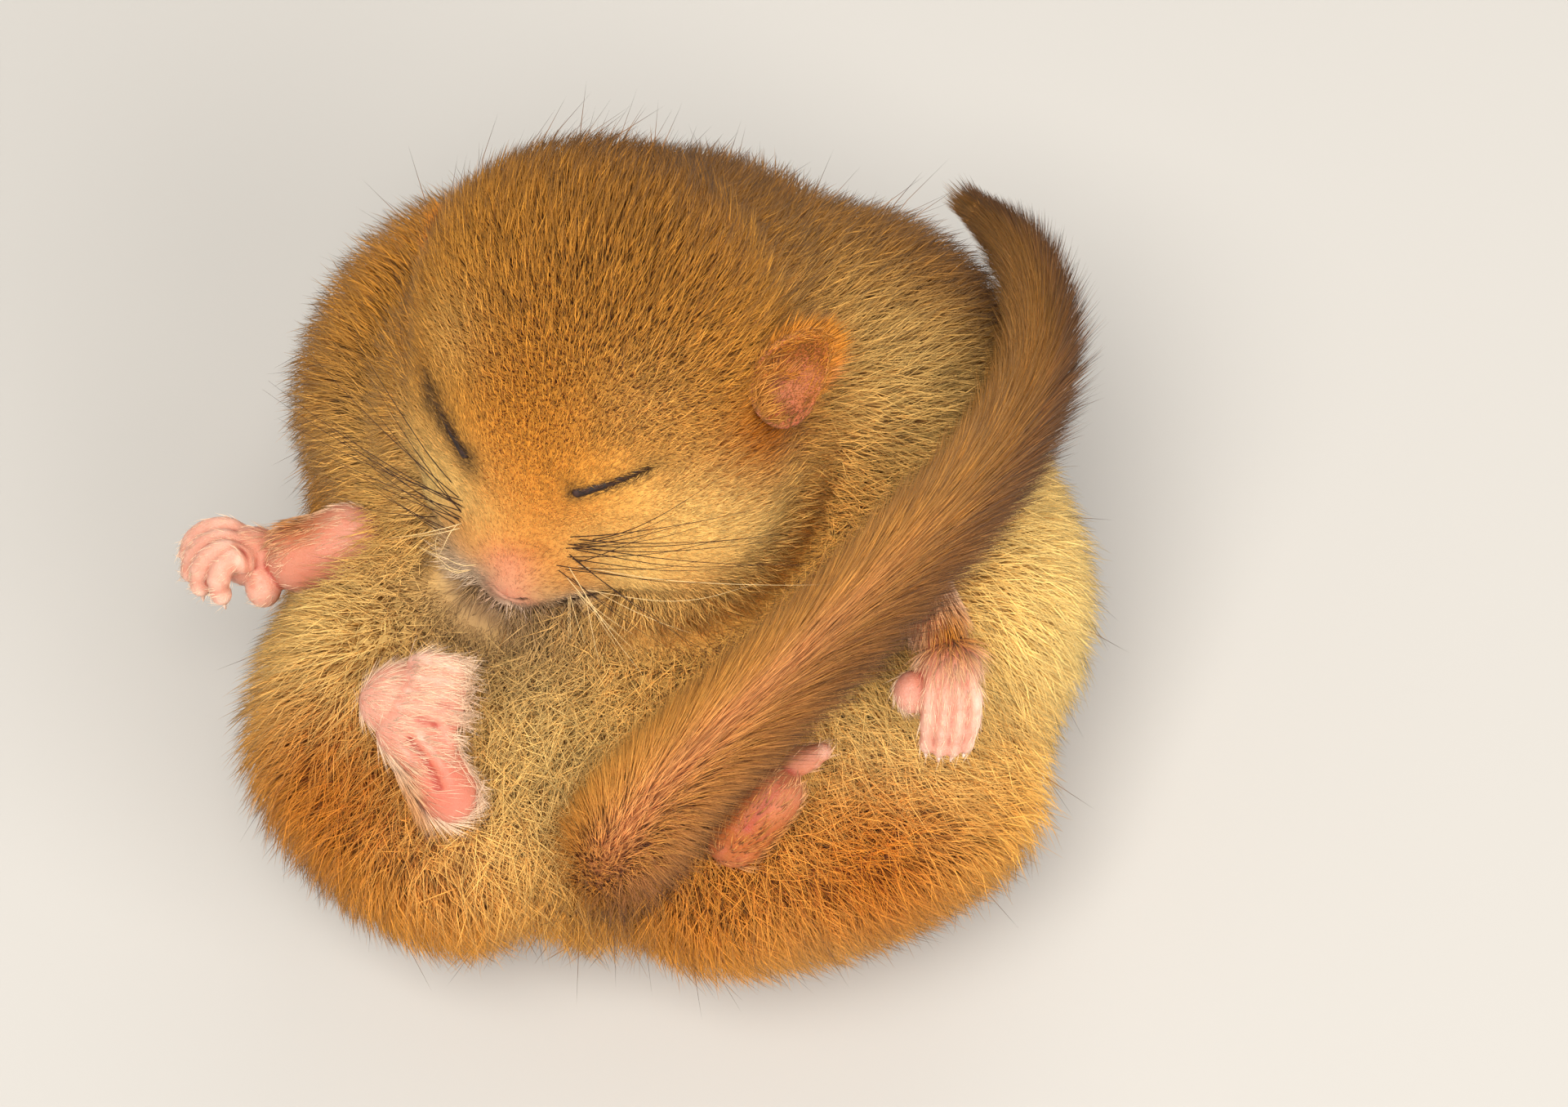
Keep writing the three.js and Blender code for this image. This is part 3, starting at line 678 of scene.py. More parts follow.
# Dark tips are the coat's own, and painted shade on the tail's shaded side, in the ear canals and in the
# skin's grooves.
tip_share = tree.sum("MULTIPLY", given["dark"], tree.span(given["along"], 0.35, 0.95, 0, 1))
colour = tree.blend(colour, DARK_TIP, tip_share)
pale = tree.sum("MAXIMUM", given["white"], given["rosy"])
pale = tree.sum("MAXIMUM", pale, tree.sum("MULTIPLY", given["cream"], 0.35))
root_light = tree.span(tree.sum("ADD", given["along"], pale), 0, 0.55, 0.5, 1)
hair_light = tree.span(given["chance"], 0, 1, 0.75, 1.3)
light = tree.sum("MULTIPLY", root_light, hair_light)
shade = tree.add("ShaderNodeCombineXYZ", X=light, Y=light, Z=light).outputs[0]
tree.put(result["colour"], tree.blend(colour, shade, 1.0, "MULTIPLY"))
print("coat colour nodes:", len(coat_group.nodes))


# %% Finishes for hair and skin


def coat_material(name, roughness):
    """A hair finish: the shared colour, and a soft surface with a little sheen."""
    material = bpy.data.materials.new(name)
    material.use_nodes = True
    tree = Tree(material.node_tree)
    shader = material.node_tree.nodes["Principled BSDF"]
    mixer = tree.add("ShaderNodeGroup", {"node_tree": coat_group})
    for label in COAT_INPUTS:
        tree.put(mixer.inputs[label], tree.kept(label))
    tree.put(shader.inputs["Base Color"], mixer.outputs["colour"])
    shader.inputs["Roughness"].default_value = roughness
    shader.inputs["Sheen Weight"].default_value = 0.05
    shader.inputs["Specular IOR Level"].default_value = 0.12
    return material


hair_paint = coat_material("hair", 0.55)
skin_paint = coat_material("skin", 0.7)

# %% [markdown]
# ## The lie of the coat
#
# Fur lies from the nose backward over the head, then from the nape down the back and outward over the
# flanks. On the skin this is a field of arrows. A short list names the arrow at a few places, the places
# between blend their nearest neighbours, and on the head every hair points away from the nose.

# %% Arrows over the skin
LIE = [
    ([-8, -3, 11], [-0.2, -1, 0]), ([-8, -12, 12], [0.1, -1, 0]), ([-14, 1, 10], [-0.8, -0.6, 0]),
    ([-22, -4, 4], [-0.7, -0.7, -0.3]), ([-20, -13, 9], [-0.3, -0.9, -0.1]),
    ([-24, -16, 2], [-0.5, -0.8, -0.3]), ([-13, -20, 8], [0.4, -0.9, 0]), ([-4, -22, 7], [0, -1, 0.1]),
    ([8, -21, 9], [0.6, -0.8, 0]),
    ([18, -18, 6], [0.7, -0.7, -0.2]), ([11, -13, 12], [0.8, -0.5, 0]), ([20, -8, 9], [0.6, -0.8, -0.1]),
    ([26, -4, 2], [0.4, -0.7, -0.6]), ([16, 12, 8], [0.95, 0.15, -0.3]), ([13, 3, 11], [1, -0.1, -0.2]),
    ([9, 16, 14], [0.8, 0.5, -0.3]), ([24, 14, 0], [0.5, -0.2, -0.8]), ([-18, 14, 8], [-0.7, 0.5, -0.4]),
    ([-22, 6, 6], [-0.9, -0.2, -0.3]), ([-24, 10, -2], [-0.4, -0.4, -0.8]), ([2, 25, 6], [0.1, 0.8, -0.6]),
    ([0, 24, -8], [0, -0.3, -1]), ([0, 12, -16], [0, -0.9, -0.4]), ([0, -8, -16], [0, -1, 0]),
    ([26, 2, -8], [0.2, -0.8, -0.5]), ([-25, 0, -8], [-0.2, -0.8, -0.5]), ([0, -22, -6], [0, -0.8, 0.4]),
    ([18, -18, -6], [0.3, -0.9, 0.1]), ([-18, -18, -6], [-0.3, -0.9, 0.1]),
]


def lie_arrows(places, normals, head_share):
    """Unit arrows along the surface, the way the hair lies."""
    total = np.zeros_like(places)
    for middle, arrow in LIE:
        away = np.linalg.norm(places - middle, axis=1)
        total += unit(np.array(arrow, float)) / (away[:, None] ** 2 + 4) ** 2
    arrows = unit(total) * (1 - head_share[:, None]) + unit(places - NOSE) * head_share[:, None]
    return unit(arrows - normals * (arrows * normals).sum(1)[:, None])


skin_normals = vertex_normals(skin, skin_triangles)
on_head_share = (nearest_distance(head_tree, skin) < nearest_distance(body_tree, skin)).astype(float)
on_head_share = relax(on_head_share[:, None], skin_triangles, 16)[:, 0]
skin_lie = lie_arrows(skin, skin_normals, on_head_share)
skin_depth = coat_depth(skin, on_head_share)

# %% [markdown]
# ## Tufts
#
# Each tuft is a thin closed spike with three sides and one point at its end; many have a bend in the
# middle. Thousands of them are worked out together as arrays, which takes a second or two. A tuft rises
# from the skin just steeply enough to end at the coat's depth. Neighbouring tufts lean their tips together
# into small locks, as real fur does, and each keeps its own shade.

# %% Where tufts stand
dice = np.random.default_rng(7)


def scatter(places, triangles, density):
    """Random roots on a surface, spread evenly, as a triangle and three weights for each root."""
    a, b, c = (places[triangles[:, corner]] for corner in range(3))
    area = np.linalg.norm(np.cross(b - a, c - a), axis=1) / 2
    wanted = area * density[triangles].mean(1)
    count = np.floor(wanted + dice.random(len(wanted))).astype(int)
    chosen = np.repeat(triangles, count, axis=0)
    u, v = dice.random((2, len(chosen)))
    over = u + v > 1
    u[over], v[over] = 1 - u[over], 1 - v[over]
    return chosen, np.stack([1 - u - v, u, v], 1)


def sample(values, chosen, weights):
    return (values[chosen] * weights.reshape(weights.shape + (1,) * (values.ndim - 1))).sum(1)


def gather_locks(roots, tips, every, strength):
    """Tips lean towards the mean tip of their lock. One root in so many starts a lock."""
    starts = dice.permutation(len(roots))[:max(1, len(roots) // every)]
    finder = KDTree(len(starts))
    for index, place in enumerate(roots[starts].tolist()):
        finder.insert(place, index)
    finder.balance()
    lock = np.array([finder.find(place)[1] for place in roots.tolist()])
    size = np.maximum(np.bincount(lock, minlength=len(starts)), 1)
    total = np.stack([np.bincount(lock, tips[:, axis], len(starts)) for axis in range(3)], 1)
    mean = total / size[:, None]
    return tips + (mean[lock] - tips) * strength[:, None]


# %% How a tuft is shaped
SPIKE_SIDES = 3


def spikes(bones, widths, facing):
    """Closed spikes along bones (tufts, joints, 3): a ring at each joint but the last, which is the point."""
    count, joints, _ = bones.shape
    rings = joints - 1
    places = []
    for joint in range(rings):
        ahead = unit(bones[:, joint + 1] - bones[:, max(joint - 1, 0)])
        across = unit(np.cross(ahead, facing))
        out = np.cross(ahead, across)
        for side in range(SPIKE_SIDES):
            turn = side / SPIKE_SIDES * 2 * math.pi
            arm = across * math.cos(turn) + out * math.sin(turn)
            places.append(bones[:, joint] + arm * widths[:, joint, None])
    places.append(bones[:, -1])
    places = np.stack(places, 1).reshape(-1, 3)
    points = rings * SPIKE_SIDES + 1
    first = (np.arange(count) * points)[:, None]
    square = [
        [ring * 3 + side, ring * 3 + (side + 1) % 3, ring * 3 + 3 + (side + 1) % 3, ring * 3 + 3 + side]
        for ring in range(rings - 1) for side in range(3)]
    last = (rings - 1) * 3
    corner = [[0, 2, 1]] + [[last + side, last + (side + 1) % 3, points - 1] for side in range(3)]
    faces = [(first[:, None] + np.array(corner)).reshape(-1, 3)]
    if square:
        faces.append((first[:, None] + np.array(square)).reshape(-1, 4))
    return places, faces, points


# %% The map of a hair piece
BAKE_PATCH = 0.003


def bake_map(piece, roots, middle, rings, points):
    """The map OFBake: each tuft is a small patch at its root's place on the skin unwrapped as a globe."""
    arrow = unit(roots - middle)
    flat = np.stack([np.arctan2(arrow[:, 1], arrow[:, 0]), arrow[:, 2]], 1)
    low, high = flat.min(0), flat.max(0)
    flat = (flat - low) / np.maximum(high - low, 1e-6) * 0.97 + 0.015
    across = np.append(np.tile([-0.5, 0, 0.5], rings), 0) * BAKE_PATCH
    along = np.append(np.repeat(np.arange(rings) / rings, 3), 1) * BAKE_PATCH - BAKE_PATCH / 2
    spread = np.repeat(flat, points, 0) + np.tile(np.stack([across, along], 1), (len(roots), 1))
    corners = np.empty(len(piece.data.loops), np.int32)
    piece.data.loops.foreach_get("vertex_index", corners)
    layer = piece.data.uv_layers.new(name="OFBake")
    layer.data.foreach_set("uv", spread[corners].astype(np.float32).ravel())


def plain_shares(count, **given):
    """Colour shares for some tufts, 0 where none is given."""
    return {label: np.broadcast_to(given.get(label, 0.0), count).astype(float) for label in SHARES}


def bent(roots, out, way, long, wide, lift, sunk=0.15):
    """A tuft with one bend from each root, steeper below the bend than above it."""
    base = roots - out * sunk
    steep, flat = lift * 1.3, lift * 0.7
    bend = base + (way * np.cos(steep)[:, None] + out * np.sin(steep)[:, None]) * (long * 0.5)[:, None]
    tip = bend + (way * np.cos(flat)[:, None] + out * np.sin(flat)[:, None]) * (long * 0.5)[:, None]
    return np.stack([base, bend, tip], 1), np.stack([wide, wide * 0.75], 1)


# %% Make tufts into pieces
MOST_TRIANGLES = 195000


def grow(name, slot, middle, bones, widths, facing, shares, dark):
    """Tufts along their bones, parted round the middle into pieces of like size, each with its paints."""
    flank = np.arctan2(*(bones[:, 0] - middle)[:, :2].T)
    triangles = len(bones) * (6 * (bones.shape[1] - 2) + 4)
    pieces = math.ceil(triangles / MOST_TRIANGLES)
    made = []
    for number, chosen in enumerate(np.array_split(np.argsort(flank), pieces)):
        places, faces, points = spikes(bones[chosen], widths[chosen], facing[chosen])
        places = keep_over_floor(places)
        title = name if pieces == 1 else f"{name}_{number + 1}"
        piece = new_piece(title, places, faces, hair_paint)
        rings = bones.shape[1] - 1
        paints = {label: np.repeat(share[chosen], points) for label, share in shares.items()}
        paints["along"] = np.tile(np.append(np.repeat(np.arange(rings) / rings, 3), 1), len(chosen))
        paints["chance"] = np.repeat(dice.random(len(chosen)), points)
        paints["dark"] = np.repeat(dark[chosen], points)
        paint(piece, **paints)
        bake_map(piece, bones[chosen, 0], middle, rings, points)
        made.append(piece)
    print(name, "tufts:", len(bones), "triangles:", triangles, "pieces:", pieces)
    return made


def keep_over_floor(places):
    """Hair under the back is pressed flat against the floor."""
    world = to_frame(places)
    world[:, 2] = np.maximum(world[:, 2], 0.05 * MM)
    return to_curl(world)


# %% [markdown]
# ## Bare skin
#
# Paws and ears show pink skin, orange where the fur begins. Paler pink on the ridges is a painted highlight
# and deeper red in the folds is painted shade. The finish is a node group that mixes these from values kept
# on the mesh, with soft blotches between. The shader lets a little light pass under the surface, and a fine
# grain keeps it from looking like wax.

# %% The bare skin finish
BARE = srgb(216, 154, 132)
# A painted highlight for the ridges and painted shade for the folds.
BARE_RIDGE_HIGHLIGHT = srgb(238, 200, 180)
BARE_FOLD_SHADE = srgb(168, 66, 52)
BARE_ROSY = srgb(198, 106, 84)
BARE_TAN = srgb(172, 90, 26)

bare_group, tree, given, result = new_group(
    "bare skin", ["fold", "rosy", "tan"], {"colour": "NodeSocketColor", "grain": "NodeSocketFloat"})
place = tree.add("ShaderNodeTexCoord").outputs["Object"]
blotch = tree.add("ShaderNodeTexNoise", Vector=place, Scale=1400.0, Detail=3.0).outputs["Fac"]
# Painted highlight where the surface bulges and painted shade where it is hollow.
colour = tree.blend(BARE, BARE_RIDGE_HIGHLIGHT, tree.span(given["fold"], -0.01, -0.06, 0, 0.8))
colour = tree.blend(colour, BARE_ROSY, given["rosy"])
colour = tree.blend(colour, BARE_TAN, given["tan"])
colour = tree.blend(colour, BARE_FOLD_SHADE, tree.span(given["fold"], 0.008, 0.07, 0, 0.85))
colour = tree.blend(colour, BARE_ROSY, tree.span(blotch, 0.5, 0.75, 0, 0.35))
tree.put(result["colour"], colour)
cells = tree.add("ShaderNodeTexVoronoi", {"feature": "DISTANCE_TO_EDGE"}, Vector=place, Scale=5200.0)
fine = tree.add("ShaderNodeTexNoise", Vector=place, Scale=9000.0, Detail=2.0).outputs["Fac"]
grain = tree.sum("ADD", tree.span(cells.outputs["Distance"], 0, 0.25, 0, 1), fine)
tree.put(result["grain"], grain)


# %% Finishes for paws and ears


def bare_material(name, roughness, bump):
    material = bpy.data.materials.new(name)
    material.use_nodes = True
    tree = Tree(material.node_tree)
    shader = material.node_tree.nodes["Principled BSDF"]
    mixer = tree.add("ShaderNodeGroup", {"node_tree": bare_group})
    for label in ("fold", "rosy", "tan"):
        tree.put(mixer.inputs[label], tree.kept(label))
    tree.put(shader.inputs["Base Color"], mixer.outputs["colour"])
    grain = tree.add("ShaderNodeBump", Strength=bump, Distance=0.00004, Height=mixer.outputs["grain"])
    tree.put(shader.inputs["Normal"], grain.outputs["Normal"])
    shader.inputs["Roughness"].default_value = roughness
    shader.inputs["Subsurface Weight"].default_value = 0.3
    shader.inputs["Subsurface Radius"].default_value = (1.0, 0.5, 0.35)
    shader.inputs["Subsurface Scale"].default_value = 0.0005
    shader.inputs["Specular IOR Level"].default_value = 0.35
    return material


bare_paint = bare_material("bare skin", 0.5, 0.35)
ear_paint = bare_material("ear skin", 0.6, 0.5)


# %% Finishes for lids and claws


def speckled_material(name, dark, light, roughness):
    """Two near colours in fine speckles, for lids and claws."""
    material = bpy.data.materials.new(name)
    material.use_nodes = True
    tree = Tree(material.node_tree)
    shader = material.node_tree.nodes["Principled BSDF"]
    place = tree.add("ShaderNodeTexCoord").outputs["Object"]
    speckle = tree.add("ShaderNodeTexNoise", Vector=place, Scale=4000.0, Detail=2.0).outputs["Fac"]
    tree.put(shader.inputs["Base Color"], tree.blend(dark, light, tree.span(speckle, 0.35, 0.65, 0, 1)))
    shader.inputs["Roughness"].default_value = roughness
    return material


# The lid rims' near-black is their own dark and the painted shadow in the slit.
lid_rim_and_slit_shade = speckled_material("lid rim and slit shade", srgb(22, 13, 11), srgb(56, 33, 26), 0.65)
claw_paint = speckled_material("claw", srgb(226, 180, 160), srgb(250, 226, 210), 0.35)

# %% [markdown]
# ## Hands and feet
#
# The left hand hangs with four fingers side by side; the right one is a loose fist. The right hind foot is
# folded, its toes bent over the ball; the left one lies under the tail. Each is modelled from soft pads,
# a sole or forearm, and four digits with knuckles, fused by a fine voxel remesh. Creases are pressed in as
# lines; they and the folds that are left between the digits give the mask for painted shade, a deeper red,
# and the ridges get a painted highlight.

# %% Sizes of the paws
DIGITS = 4
PAW_VOXEL = 0.13
KNUCKLES = [0.8, 0.95, 1.08, 0.9, 1.0, 1.06, 0.86, 0.95, 0.78]
PAWS = {
    "hand_left": {
        "limbs": [([[14.6, 0.8, 10.6], [15.6, -2.2, 12.4], [16.7, -5.2, 13.5]], [2.1, 1.9, 1.8])],
        "pads": [([17.2, -6.6, 13.6], [1.9, 2.0, 1.6], 0), ([15.0, -8.0, 13.7], [1.15, 1.3, 1.15], 0)],
        "first": [[16.25, -6.4, 14.5], [16.0, -8.6, 14.7], [15.9, -10.6, 13.7], [15.85, -12.0, 12.5]],
        "step": [[0.62, 0, 0], [0.9, 0, 0], [0.86, 0, 0], [0.77, 0, 0]],
        "wide": 0.5, "bow": 0.25, "hair_way": [0.02, -1, -0.15], "hair": 9, "hair_long": 1.25,
        "creases": [([[15.6, -9.3, 15.2], [17.4, -9.6, 15.5], [19.2, -9.3, 15.1]], 0.08, 0.14)],
        "tan": ([17.2, -4.0, 14.4], 2.9, 1.0), "rosy": ([15.0, -7.4, 14.4], 1.5, 0.5),
        "nodes": ["hand_left", "forearm_left"],
    },
    "hand_right": {
        "limbs": [([[-17.6, 2.2, 4.4], [-21.0, 0.5, 4.9], [-24.6, -0.4, 4.5]], [2.2, 2.3, 2.2])],
        "pads": [([-25.6, 0.1, 3.9], [2.2, 1.9, 1.8], 0), ([-24.8, -1.7, 4.7], [1.15, 1.4, 1.2], 0)],
        "digits": [
            [[-24.9, 0.7, 3.4], [-27.7, 1.9, 3.6], [-29.4, 0.9, 3.0], [-29.7, -0.4, 2.4]],
            [[-25.0, 0.3, 4.6], [-27.7, 1.1, 5.0], [-29.2, -0.1, 4.3], [-29.4, -1.5, 3.5]],
            [[-25.2, -0.2, 5.4], [-27.4, 0.4, 6.1], [-28.6, -0.9, 5.4], [-28.6, -2.3, 4.4]],
            [[-25.3, -0.6, 5.6], [-26.7, -0.1, 6.5], [-27.4, -1.4, 6.1], [-27.2, -2.8, 5.0]],
        ],
        "wide": 0.74, "hair_way": [-0.8, -0.3, 0.1], "hair": 5, "hair_long": 1.0,
        "creases": [([[-26.0, 0.9, 6.4], [-25.4, -0.4, 6.5], [-25.6, -1.6, 6.0]], 0.12, 0.2)],
        "tan": ([-22.6, 2.0, 5.8], 2.6, 0.85), "rosy": ([-21.4, -0.6, 6.4], 3.0, 0.5),
        "nodes": ["hand_right", "forearm_right"],
    },
    "hind_foot_left": {
        "limbs": [([[3.5, -18.0, 10.8], [4.9, -16.3, 12.4], [6.5, -14.5, 13.0], [7.9, -12.9, 12.7]],
                   [1.5, 1.8, 1.75, 1.65, 1.5])],
        "pads": [],
        "first": [[6.8, -13.6, 12.6], [7.8, -12.3, 12.9], [8.4, -11.5, 12.0]],
        "step": [[0.6, 0.35, 0], [0.55, 0.2, 0], [0.5, 0, 0]],
        "wide": 0.58, "bow": 0, "hair_way": [0.6, 0.75, 0], "hair": 2.5, "hair_long": 0.8,
        "creases": [([[5.2, -16.0, 14.2], [6.6, -14.2, 14.6], [7.6, -12.9, 14.3]], 0.15, 0.4)],
        # Its tan is the foot's own orange-tan and the painted shadow of the tail that lies over it.
        "tan": ([5.0, -16.4, 13.6], 7.5, 0.95), "rosy": ([7.8, -12.2, 14.2], 2.4, 0.15),
        "nodes": ["hind_foot_left"],
    },
    "hind_foot_right": {
        "limbs": [([[-12.0, -15.6, 11.4], [-13.2, -13.4, 12.7], [-14.9, -10.6, 13.2], [-16.3, -8.6, 13.2]],
                   [1.45, 1.8, 1.85, 2.0, 2.0])],
        "pads": [([-15.7, -8.4, 13.1], [2.5, 2.1, 1.7], 25), ([-13.0, -10.6, 13.5], [0.8, 1.5, 1.0], 14)],
        "first": [[-16.6, -8.8, 13.6], [-14.8, -8.9, 14.6], [-12.9, -9.2, 14.2], [-12.1, -9.8, 12.9]],
        "step": [[0.5, 0.8, 0], [0.4, 0.88, 0], [0.2, 0.86, 0], [0, 0.84, 0]],
        "wide": 0.68, "bow": 0, "hair_way": [1, -0.12, 0], "hair": 20, "hair_long": 2.0,
        "creases": [
            ([[-16.9, -11.2, 15.0], [-15.2, -10.1, 15.6], [-12.4, -8.9, 15.2]], 0.25, 0.36),
            ([[-14.9, -10.9, 15.2], [-13.9, -12.2, 14.9], [-13.3, -13.6, 14.2]], 0.45, 0.3),
        ],
        "tan": ([-16.0, -13.6, 12.6], 1.9, 1.0), "rosy": ([-13.0, -13.8, 14.0], 3.6, 0.85),
        "nodes": ["hind_foot_right"],
    },
}

# %% Model the paws


def digit_lines(paw):
    """The middle line of each digit, each a step on from the one before it."""
    if "digits" in paw:
        return [np.array(line, float) for line in paw["digits"]]
    lines = []
    for index in range(DIGITS):
        line = np.array(paw["first"], float) + np.array(paw["step"], float) * index
        line[2:, 1] += paw["bow"] * abs(index - (DIGITS - 1) / 2)
        lines.append(line)
    return lines


def model_paw(name):
    paw = PAWS[name]
    shapes = [egg(*pad) for pad in paw["pads"]]
    shapes += [limb(line, widths, 22, 30) for line, widths in paw["limbs"]]
    shapes += [limb(line, np.array(KNUCKLES) * paw["wide"], 16, 34) for line in digit_lines(paw)]
    places, triangles = remeshed(*stack(shapes), PAW_VOXEL)
    places = relax(places, triangles, 3)
    for line, deep, wide in paw["creases"]:
        places = pressed(places, triangles, line, deep, wide * 1.6)
    return places, triangles


def patch(places, middle, wide, strong):
    away = np.linalg.norm(places - middle, axis=1) / wide
    return strong * np.exp(-away * away)


# %% Skin of the paws
paw_shapes = {}
for name, paw in PAWS.items():
    places, triangles = paw_shapes[name] = model_paw(name)
    piece = new_piece(name + "_skin", places, [triangles], bare_paint)
    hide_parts(*paw["nodes"])
    # Painted shade in the hollows and along the creases, painted highlight on the ridges.
    fold = hollowness(places, triangles, 10)
    for line, deep, wide in paw["creases"]:
        fold += np.exp(-(off_line(places, line) / (wide * 1.6)) ** 2) * 0.05
    paint(piece, fold=fold, rosy=patch(places, *paw["rosy"]), tan=patch(places, *paw["tan"]))
    print(name, "triangles:", len(triangles), "fold", fold.min().round(3), fold.max().round(3))

# %% Claws
CLAW = [0.13, 0.12, 0.08, 0.03]

claws = []
for paw in PAWS.values():
    for line in digit_lines(paw):
        end = line[-1]
        way = unit(line[-1] - line[-2])
        hook = unit(way + [0, 0, -0.5])
        claws.append(limb([end - way * 0.1, end + way * 0.25, end + way * 0.3 + hook * 0.25], CLAW, 8, 10))
places, triangles = stack(claws)
new_piece("claws", places, [triangles], claw_paint)
print("claws", len(claws))

# %% Fine hair on the paws
PAW_WIDTH = 0.019


def grow_paw_hair(name):
    paw = PAWS[name]
    places, triangles = paw_shapes[name]
    normals = vertex_normals(places, triangles)
    furry = patch(places, *paw["tan"])
    chosen, weights = scatter(places, triangles, paw["hair"] * (1 + 2.5 * furry))
    roots, out = sample(places, chosen, weights), unit(sample(normals, chosen, weights))
    way = np.array(paw["hair_way"], float) + dice.normal(0, 0.2, roots.shape)
    way = unit(way - out * (way * out).sum(1)[:, None])
    sunk_in = nearest_distance(skin_tree, roots) < 0.3
    bare_sole = patch(roots, *paw["rosy"]) > paw["rosy"][2] * 0.7
    kept = ~sunk_in & ~(bare_sole & (dice.random(len(roots)) < 0.85))
    roots, out, way = roots[kept], out[kept], way[kept]
    count = len(roots)
    tan = patch(roots, *paw["tan"])
    long = paw["hair_long"] * dice.uniform(0.6, 1.15, count) * (1 + 0.9 * tan)
    wide = PAW_WIDTH * dice.uniform(0.7, 1.2, count) * (1 + 0.9 * tan)
    bones, widths = bent(roots, out, way, long, wide, dice.uniform(0.02, 0.1, count) + 0.25 * tan, 0.04)
    shares = plain_shares(
        count, rosy=0.35 * (1 - tan), white=0.7 * (1 - tan), orange=0.6 * tan, brown=0.25 * tan)
    dark = (dice.random(count) < 0.25 * tan) * 0.7
    grow(name + "_hair", "bare_skin", np.mean(places, axis=0), bones, widths, out, shares, dark)


for name in PAWS:
    grow_paw_hair(name)

# %% [markdown]
# ## Ears
#
# A dormouse's ear is a small round shell of thin skin that lies back on the coat. It is made here as a cup
# from rings: the inner face runs out to a soft rolled rim and the outer face runs back in, with a fold down
# the middle. Fine hairs cover both faces. Where the ear canal opens, skin and hairs get painted shade, deeper
# red, brown and dark in that hollow. On the crown's side the hairs are longer and thicker, and hide that part
# of the shell.

# %% Model the ears
EARS = {
    "left": {"place": [-2.3, 13.2, 1.1], "open": [0.32, 0.52, 0.8], "tip": [-0.85, 0.2, 0.2]},
    "right": {"place": [-2.0, -10.2, -3.2], "open": [0.12, -0.86, -0.3], "tip": [-0.8, -0.25, 0.45]},
}
EAR_WIDE, EAR_LONG, EAR_DEEP, EAR_WALL = 2.4, 3.3, 1.1, 0.34
EAR_SIDES, EAR_RINGS = 72, 16


def ear_axes(ear):
    facing = unit(on_head(ear["open"]) - HEAD_PLACE)
    tip = on_head(ear["tip"]) - HEAD_PLACE
    tip = unit(tip - facing * (tip @ facing))
    return np.stack([np.cross(facing, tip), tip, facing])


def model_ear():
    """The shell, and for each point if it is on the inner face and how far out it lies, from 0 to 1."""
    angle = np.arange(EAR_SIDES) / EAR_SIDES * 2 * math.pi
    out = (np.arange(EAR_RINGS) + 0.5)[:, None] / EAR_RINGS
    across, along = np.cos(angle) * out, np.sin(angle) * out
    rim = 1 + 0.05 * np.cos(3 * angle + 0.6)
    height = EAR_DEEP * (out ** 2 - 1) * np.ones_like(across)
    height += 0.55 * np.exp(-((along + 0.25 * across) / 0.16) ** 2) * ease(0.95, 0.4, out) * (across > -0.1)
    height -= 0.5 * ease(0.82, 1.0, out) ** 2
    height += 0.9 * ease(0.1, -0.95, along) * out ** 2
    inner = np.stack([across * rim * EAR_WIDE, along * rim * EAR_LONG, height], -1)
    wall = EAR_WALL * (0.55 + 0.45 * ease(1.0, 0.7, out))
    outer = inner - np.stack([np.zeros_like(across), np.zeros_like(across), wall * np.ones_like(across)], -1)
    outer[..., :2] *= 1.015
    rings = np.concatenate([inner, outer[::-1]])
    places, triangles = ringed(inner[0].mean(0), rings, outer[0].mean(0))
    inside = np.concatenate([[1], np.repeat([1, 0], EAR_RINGS * EAR_SIDES), [0]])
    spread = out * np.ones_like(across)
    edge = np.concatenate([[0], spread.ravel(), spread[::-1].ravel(), [0]])
    return relax(places, triangles, 1), triangles, inside, edge


